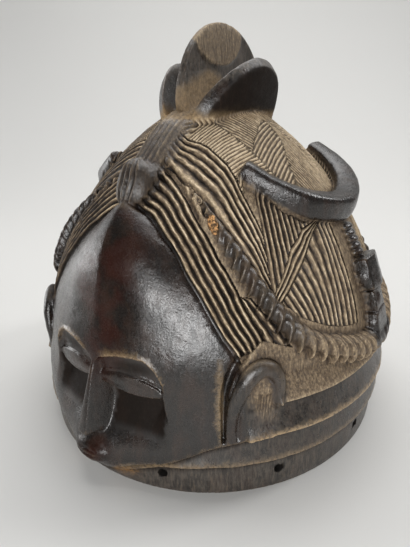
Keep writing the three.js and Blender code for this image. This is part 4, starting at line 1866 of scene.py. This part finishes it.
    def mark(self, mesh: Mesh) -> None:
        """Mark every vertex for the finish.

        Args:
            mesh: The finished body's mesh.
        """
        points = read_places(mesh) / MM
        at = Places(points, *DOME.locate(points))
        mask, angle, z = self.mask, at.angle, at.z
        outside = rise(*self.wall_outside, at.out)
        hair = mask.hair.comb(points, angle, z)
        over_jaw = z - read(mask.face.jaw, angle)
        past_hairline = angle - read_back(mask.hair.hairline, z)
        on_face = rise(0.8, -0.8, past_hairline) * rise(-1, 1, over_jaw)
        on_neck = (1 - on_face) * rise(*self.hair_foot[::-1], z) * outside
        lock = self.locks(at)
        crest = self.crest(at)
        neck = self.neck(at, on_neck)
        face = self.face(at, on_face)
        helix, lobe = self.ear(at)
        on_crest = crest["whole"]
        worked = lock["shoe"] + lock["charm"] + on_crest + lock["knot"] + lock["lumps"]
        solid = np.clip(worked + lock["ridge"], 0, 1)
        in_hair = (1 - on_face) * rise(*self.hair_foot, z) * outside
        in_hair = in_hair * (1 - 0.7 * rise(0.0, 0.2, spot(angle, z, *self.bare_by_ear)))
        combed = hair["combed"] * rise(6.5, 4.5, at.out) * (1 - on_face)
        combed = combed * (1 - np.clip(solid + lock["braid"], 0, 1))
        dusty = in_hair * (1 - solid) * (1 - 0.85 * helix) + 0.8 * crest["disc"] + 0.8 * lobe
        dusty = dusty + 0.12 * lock["lumps"] + 0.45 * lock["ridge"] + 0.3 * lock["knot"]
        # The far side's hair gets less dust: painted shade on the side that lies in shade
        dust = hair["dust"] - 0.5 * rise(*self.far_side_shade, points[:, 0])
        dust = dust - 0.05 * lobe + 0.03 * crest["disc"] + 0.02 - 0.08 * lock["braid"]
        grey = 0.8 * neck["below"] + 0.55 * on_neck * (1 - neck["below"])
        # Grey on the petals' rims is painted light
        grey = grey + on_crest * 0.9 * (crest["fin_side"] + crest["rim"])
        # Grey on the near ear's rim only is painted light; the far ear stays dark as painted shade
        grey = grey + 0.28 * helix * (points[:, 0] > 0)
        for name, values in {
            "combed": combed,
            "hair": dusty,
            "dust": dust,
            # Gold on the rings' worn edges and beside the ear, and a painted highlight along the brow
            "edge": neck["edges"] + face["worn"],
            "gold": crest["dust"] * outside,
            "film_and_light": grey,
            "red": face["red"],
            "amber": face["amber"],
            # Painted shade: the eye recesses, the petals' outer faces and the corners under the rings'
            # edges
            "painted_shade": face["recess"] + crest["back"] + 0.8 * neck["corner"],
            "raw": 1 - outside,
            "chip": 1.6 * mask.hair.chipped(points, angle, z),
            # Holes and eye slits painted black as shade
            "hole_shade": face["hole_shade"],
            "worked": worked,
        }.items():
            self.store(mesh, name, np.clip(values, 0, 1))
        for name in ("phase", "along"):
            self.store(mesh, name, hair[name])


class Paint:
    """A small helper that wires shader nodes together."""

    def __init__(self, material: bpy.types.Material) -> None:
        """Start from the material's own nodes.

        Args:
            material: The material to wire.
        """
        self.tree = material.node_tree
        self.shader = self.tree.nodes["Principled BSDF"]
        self.place = self.node("ShaderNodeTexCoord").outputs["Object"]

    def node(self, kind: str, **settings: object) -> bpy.types.Node:
        """Add a node and set its properties.

        Args:
            kind: The node's type.
            settings: Its properties.

        Returns:
            The node.
        """
        made = self.tree.nodes.new(kind)
        for name, value in settings.items():
            setattr(made, name, value)
        return made

    def feed(self, socket: bpy.types.NodeSocket, value: object) -> None:
        """Link a socket, or set it where the value is plain.

        Args:
            socket: The socket to feed.
            value: A socket or a plain value.
        """
        if isinstance(value, bpy.types.NodeSocket):
            self.tree.links.new(value, socket)
        else:
            socket.default_value = value

    def mark(self, name: str) -> Socket:
        """Read one of the marks."""
        return self.node("ShaderNodeAttribute", attribute_name=name).outputs["Fac"]

    def math(self, operation: str, *values: object) -> Socket:
        """Work out one number.

        Args:
            operation: The sum to do.
            values: Sockets or plain numbers.

        Returns:
            The result.
        """
        made = self.node("ShaderNodeMath", operation=operation)
        for socket, value in zip(made.inputs, values):
            self.feed(socket, value)
        return made.outputs[0]

    def product(self, one: object, other: object) -> Socket:
        """Multiply two values."""
        return self.math("MULTIPLY", one, other)

    def sum(self, *parts: tuple[object, object]) -> Socket:
        """Add up values, each with its weight.

        Args:
            parts: Each value and its weight.

        Returns:
            The sum.
        """
        total = self.product(*parts[0])
        for value, weight in parts[1:]:
            total = self.math("ADD", total, self.product(value, weight))
        return total

    def ramp(self, value: object, low: float, high: float, to_low: float = 0.0,
             to_high: float = 1.0) -> Socket:
        """Rise smoothly between two values.

        Args:
            value: The value to read.
            low: Where the rise starts.
            high: Where it ends.
            to_low: The result at its start.
            to_high: The result at its end.

        Returns:
            The result.
        """
        made = self.node("ShaderNodeMapRange", interpolation_type="SMOOTHSTEP")
        for socket, item in zip(made.inputs, (value, low, high, to_low, to_high)):
            self.feed(socket, item)
        return made.outputs["Result"]

    def noise(self, size: float, detail: float = 3.0, stretch: Sequence[float] = (1, 1, 1),
              roughness: float = 0.55) -> Socket:
        """Make noise with cells of a size in millimetres.

        Args:
            size: The size.
            detail: How many finer layers it has.
            stretch: How much finer it is along each axis.
            roughness: How strong the finer layers are.

        Returns:
            The noise, from 0 to 1.
        """
        mapping = self.node("ShaderNodeMapping")
        self.feed(mapping.inputs["Vector"], self.place)
        mapping.inputs["Scale"].default_value = [1 / (size * MM) * share for share in stretch]
        return self.noise_at(mapping.outputs[0], detail, roughness)

    def noise_at(self, place: Socket, detail: float, roughness: float) -> Socket:
        """Make noise at a place of one's own.

        Args:
            place: The place.
            detail: How many finer layers it has.
            roughness: How strong they are.

        Returns:
            The noise, from 0 to 1.
        """
        made = self.node("ShaderNodeTexNoise")
        self.feed(made.inputs["Vector"], place)
        made.inputs["Scale"].default_value = 1
        made.inputs["Detail"].default_value = detail
        made.inputs["Roughness"].default_value = roughness
        return made.outputs["Fac"]

    def steps(self, value: Socket, colours: Sequence[tuple[float, Colour]]) -> Socket:
        """Run through a row of colours.

        Args:
            value: A value from 0 to 1.
            colours: Each place in the row and its colour.

        Returns:
            The colour.
        """
        made = self.node("ShaderNodeValToRGB")
        self.feed(made.inputs[0], value)
        ramp = made.color_ramp
        while len(ramp.elements) < len(colours):
            ramp.elements.new(0.5)
        for element, (at, colour) in zip(ramp.elements, colours):
            element.position = at
            element.color = colour
        return made.outputs["Color"]

    def blend(self, low: object, high: object, share: object) -> Socket:
        """Blend two colours.

        Args:
            low: The colour at 0.
            high: The colour at 1.
            share: The share of the second.

        Returns:
            The colour.
        """
        made = self.node("ShaderNodeMix", data_type="RGBA")
        self.feed(made.inputs["Factor"], share)
        self.feed(made.inputs[6], low)
        self.feed(made.inputs[7], high)
        return made.outputs[2]


def shade(red: float, green: float, blue: float) -> Colour:
    """Give a colour as it looks, from 0 to 255, as the shader wants it."""
    linear = [((c / 255 + 0.055) / 1.055) ** 2.4 if c > 10 else c / 255 / 12.92 for c in (red, green, blue)]
    return (linear[0], linear[1], linear[2], 1.0)


@dataclass(frozen=True)
class CarvedWood:
    """The finish: a dark worn patina, dust in the hair and bare wood where it is chipped."""

    dark: Colour = shade(25, 20, 17)
    brown: Colour = shade(45, 32, 25)
    red: Colour = shade(54, 24, 16)
    # Grey film on the neck and rim, also used as painted light on the petals' rims and the near ear's rim
    film_and_light: Colour = shade(88, 80, 71)
    # Painted shade in recesses, on the petals' outer faces and under the rings' edges
    painted_shade: Colour = shade(26, 19, 14)
    umber: Colour = shade(96, 77, 58)
    # Black for the hollows, partly dark patina and partly painted shade, and for holes as painted shade
    black: Colour = shade(11, 8, 6)
    gold: Colour = shade(184, 156, 118)
    amber: Colour = shade(126, 94, 58)
    raw: Colour = shade(84, 66, 50)
    fresh: Colour = shade(226, 174, 118)
    # The hair's colours, from the bottom of a cut to the rubbed top of a ridge: dust and dark patina, with
    # painted shade in the cuts and a painted highlight on the ridges
    hair: Sequence[tuple[float, Colour]] = (
        (0.0, shade(30, 24, 19)), (0.22, shade(62, 51, 41)), (0.45, shade(103, 88, 72)),
        (0.68, shade(154, 135, 110)), (0.88, shade(204, 182, 150)), (1.0, shade(230, 210, 180)))

    def strands(self, paint: Paint, speck: Socket) -> tuple[Socket, Socket]:
        """Colour the combed hair.

        Args:
            paint: The wiring helper.
            speck: The fine noise.

        Returns:
            The hair's colour, and its height from the bottom of a cut.
        """
        phase = paint.mark("phase")
        combed = paint.mark("combed")
        plain = paint.math("SUBTRACT", 1.0, combed)
        beat = paint.math("SUBTRACT", paint.product(paint.math("FRACT", phase), 2.0), 1.0)
        crest = paint.math("SUBTRACT", 1.0, paint.math("ABSOLUTE", beat))
        place = paint.node("ShaderNodeCombineXYZ")
        paint.feed(place.inputs[0], paint.product(phase, 3.4))
        paint.feed(place.inputs[1], paint.product(paint.mark("along"), 0.16))
        fibre = paint.noise_at(place.outputs[0], 3.0, 0.6)
        loose = paint.noise(1.2, 5, (1, 1, 0.16), 0.75)
        streak = paint.sum((fibre, combed), (loose, plain))
        # Ridge tops lighter and cuts darker: dust and patina, with painted highlight and painted shade
        level = paint.sum((paint.product(combed, crest), 0.52), (plain, 0.22))
        for value, middle, weight in (
            (streak, 0.5, 1.1),
            (speck, 0.5, 0.7),
            (paint.mark("dust"), 0.35, 0.8),
            (paint.mark("stands_out"), 0.0, 0.5),
        ):
            level = paint.math("ADD", level, paint.product(paint.math("SUBTRACT", value, middle), weight))
        return paint.steps(level, self.hair), paint.sum((paint.product(crest, combed), 1.0), (streak, 0.45))

    def material(self) -> bpy.types.Material:
        """Wire the finish.

        Returns:
            The material.
        """
        made = bpy.data.materials.new("carved_wood")
        made.use_nodes = True
        paint = Paint(made)
        grain = paint.noise(9, 4, (1, 1, 0.35))
        fine = paint.noise(0.9, 2)
        patch = paint.noise(24, 3)
        speck = paint.noise(1.9, 4, roughness=0.7)
        wear = paint.noise(3.6, 5, (1, 1, 0.7), 0.75)
        scratch = paint.noise(1.1, 4, (1, 1, 0.13), 0.7)
        tooled = paint.noise(2.2, 3, (1, 0.25, 0.6), 0.6)
        stands = paint.mark("stands_out")
        hair_mark = paint.mark("hair")
        film_and_light = paint.mark("film_and_light")
        hair, height = self.strands(paint, speck)

        clouded = paint.sum((wear, 0.45), (scratch, 0.55))
        worn = paint.math("ADD", paint.product(film_and_light, 0.4), 0.15)
        chip = paint.ramp(paint.mark("chip"), 0.35, 0.6)
        # Deep hollows go black, partly dark patina and partly painted shade; raised places get lighter
        # umber
        deep = paint.ramp(stands, -0.3, -1.1, 0, 0.85)
        high = paint.ramp(stands, 0.15, 0.7)
        colour = paint.blend(self.dark, self.brown, paint.ramp(grain, 0.4, 0.7))
        for over, share in (
            (self.red, paint.product(paint.mark("red"), paint.ramp(patch, 0.42, 0.62, 0, 0.75))),
            (self.film_and_light, paint.product(film_and_light, paint.ramp(clouded, 0.4, 0.6, 0.1, 1.0))),
            (self.umber, paint.product(paint.ramp(scratch, 0.52, 0.72), worn)),
            # Painted shade
            (self.painted_shade, paint.product(paint.mark("painted_shade"), paint.ramp(scratch, 0.3, 0.7, 1.0, 0.55))),
            (self.umber, paint.product(high, paint.ramp(speck, 0.38, 0.62, 0.1, 0.8))),
            (hair, hair_mark),
            # Gold on worn edges, and a painted highlight along the brow's arch
            (self.gold, paint.product(paint.mark("edge"), paint.ramp(speck, 0.34, 0.56, 0.2, 0.95))),
            (self.gold, paint.product(paint.mark("gold"), paint.ramp(speck, 0.25, 0.75, 0.3, 0.9))),
            (self.amber, paint.product(paint.mark("amber"), paint.ramp(speck, 0.35, 0.6))),
            (self.black, paint.product(deep, paint.ramp(hair_mark, 0, 1, 1.0, 0.55))),
            (self.raw, paint.mark("raw")),
            (paint.blend(self.fresh, self.umber, paint.ramp(speck, 0.42, 0.56)), chip),
            # Holes and eye slits painted black as shade
            (self.black, paint.mark("hole_shade")),
        ):
            colour = paint.blend(colour, over, share)
        paint.feed(paint.shader.inputs["Base Color"], colour)

        dry = paint.product(hair_mark, paint.ramp(speck, 0.35, 0.65, 0.55, 0.9))
        for rough_place in (*(paint.mark(name) for name in ("gold", "painted_shade", "raw", "hole_shade")), chip):
            dry = paint.math("MAXIMUM", dry, rough_place)
        gloss = paint.ramp(fine, 0.35, 0.68, 0.16, 0.26)
        gloss = paint.math("ADD", gloss, paint.ramp(wear, 0.35, 0.65, 0.0, 0.12))
        gloss = paint.sum((gloss, 1.0), (dry, 0.42), (film_and_light, 0.14), (paint.mark("worked"), 0.03))
        paint.feed(paint.shader.inputs["Roughness"], gloss)
        shine = paint.ramp(dry, 0.1, 0.9, 0.75, 0.16)
        shine = paint.product(shine, paint.ramp(paint.mark("red"), 0.1, 0.8, 1.0, 0.4))
        paint.feed(paint.shader.inputs["Specular IOR Level"], shine)

        surface = paint.sum((hair_mark, height), (fine, 0.11), (speck, 0.15), (scratch, 0.14),
                            (tooled, paint.product(paint.mark("worked"), 0.45)))
        bump = paint.node("ShaderNodeBump")
        bump.inputs["Strength"].default_value = 1.0
        bump.inputs["Distance"].default_value = 0.9 * MM
        paint.feed(bump.inputs["Height"], surface)
        paint.feed(paint.shader.inputs["Normal"], bump.outputs[0])
        return made


@dataclass(frozen=True)
class Studio:
    """The pale paper sweep, the soft light and the camera."""

    camera_place: Triple = (0.1697, -0.2623, 0.2181)
    camera_target: Triple = (-0.0068, -0.0046, 0.0888)
    camera_roll: float = -0.5 * DEG
    lens: float = 27.05
    sensor: float = 36.0
    # The paper's half width, its floor and the wall's distance and bend, in metres
    paper_half_width: float = 4.0
    paper_run: float = 2.4
    wall: float = 1.1
    bend: float = 0.7
    paper: Colour = shade(222, 221, 218)
    sky: Colour = shade(236, 240, 244)
    sky_strength: float = 0.145
    # Where each soft light is, its width and height, its power, and the degrees that it spreads
    lights: Sequence[tuple[Triple, Span, float, float]] = (
        ((0.34, -0.62, 0.25), (0.38, 0.22), 0.6, 75.0),
        ((-0.15, 0.35, 1.15), (1.1, 0.9), 10.5, 180.0),
        ((0.85, 0.95, 1.2), (0.35, 0.30), 7.5, 180.0),
        ((-1.0, -0.3, 0.13), (0.6, 0.24), 0.45, 75.0),
        ((-1.3, -0.25, 0.5), (0.8, 0.6), 3.2, 180.0),
    )

    def aim(self) -> Vector:
        """Give the way that the camera looks."""
        return Vector(self.camera_target) - Vector(self.camera_place)

    def camera(self) -> None:
        """Stand the camera where the photograph was taken."""
        camera = bpy.data.objects.new("camera", bpy.data.cameras.new("camera"))
        camera.data.lens = self.lens
        camera.data.sensor_width = self.sensor
        turned = self.aim().to_track_quat("-Z", "Y").to_matrix() @ Matrix.Rotation(self.camera_roll, 3, "Z")
        camera.matrix_world = Matrix.Translation(self.camera_place) @ turned.to_4x4()
        bpy.context.scene.collection.objects.link(camera)
        bpy.context.scene.camera = camera

    def floor(self) -> None:
        """Lay a sheet of paper that rises behind the mask in one sweep."""
        work = bmesh.new()
        bmesh.ops.create_grid(work, x_segments=1, y_segments=40, size=1)
        quarter = self.bend * math.pi / 2
        for vert in work.verts:
            vert.co.x *= self.paper_half_width
            past = self.paper_run * vert.co.y
            turn = min(max(past / quarter, 0), 1) * math.pi / 2
            vert.co.y = min(past, 0) + self.wall - self.bend + self.bend * math.sin(turn)
            vert.co.z = self.bend * (1 - math.cos(turn)) + max(past - quarter, 0)
        aim = self.aim()
        bmesh.ops.rotate(work, matrix=Matrix.Rotation(math.atan2(-aim.x, aim.y), 3, "Z"), verts=work.verts)
        mesh = bpy.data.meshes.new("floor")
        work.to_mesh(mesh)
        work.free()
        mesh.polygons.foreach_set("use_smooth", [True] * len(mesh.polygons))
        floor = as_object(mesh)
        paper = bpy.data.materials.new("floor_paper")
        paper.use_nodes = True
        shader = paper.node_tree.nodes["Principled BSDF"]
        shader.inputs["Base Color"].default_value = self.paper
        shader.inputs["Roughness"].default_value = 0.8
        mesh.materials.append(paper)

    def build(self) -> None:
        """Set the stage."""
        self.camera()
        self.floor()
        for place, (width, height), power, spread in self.lights:
            light = bpy.data.lights.new("window", "AREA")
            light.shape = "RECTANGLE"
            light.size = width
            light.size_y = height
            light.energy = power
            light.spread = spread * DEG
            lamp = bpy.data.objects.new("window", light)
            lamp.location = place
            lamp.rotation_euler = (Vector((0, 0, 0.1)) - Vector(place)).to_track_quat("-Z", "Y").to_euler()
            bpy.context.scene.collection.objects.link(lamp)
        world = bpy.data.worlds.new("world")
        world.use_nodes = True
        sky = world.node_tree.nodes["Background"]
        sky.inputs["Color"].default_value = self.sky
        sky.inputs["Strength"].default_value = self.sky_strength
        bpy.context.scene.world = world
        bpy.context.scene.view_settings.view_transform = "Standard"


def main() -> None:
    """Set the stage, build the mask and dress it."""
    logging.basicConfig(level=logging.INFO)
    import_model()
    Studio().build()
    mask = Mask().build()
    mask.data.materials.clear()
    mask.data.materials.append(CarvedWood().material())
    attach(mask, "root")
    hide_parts("helmet_mask")
    LOG.info("piece %s: %d faces", mask.name, len(mask.data.polygons))


if __name__ == "__main__":
    main()
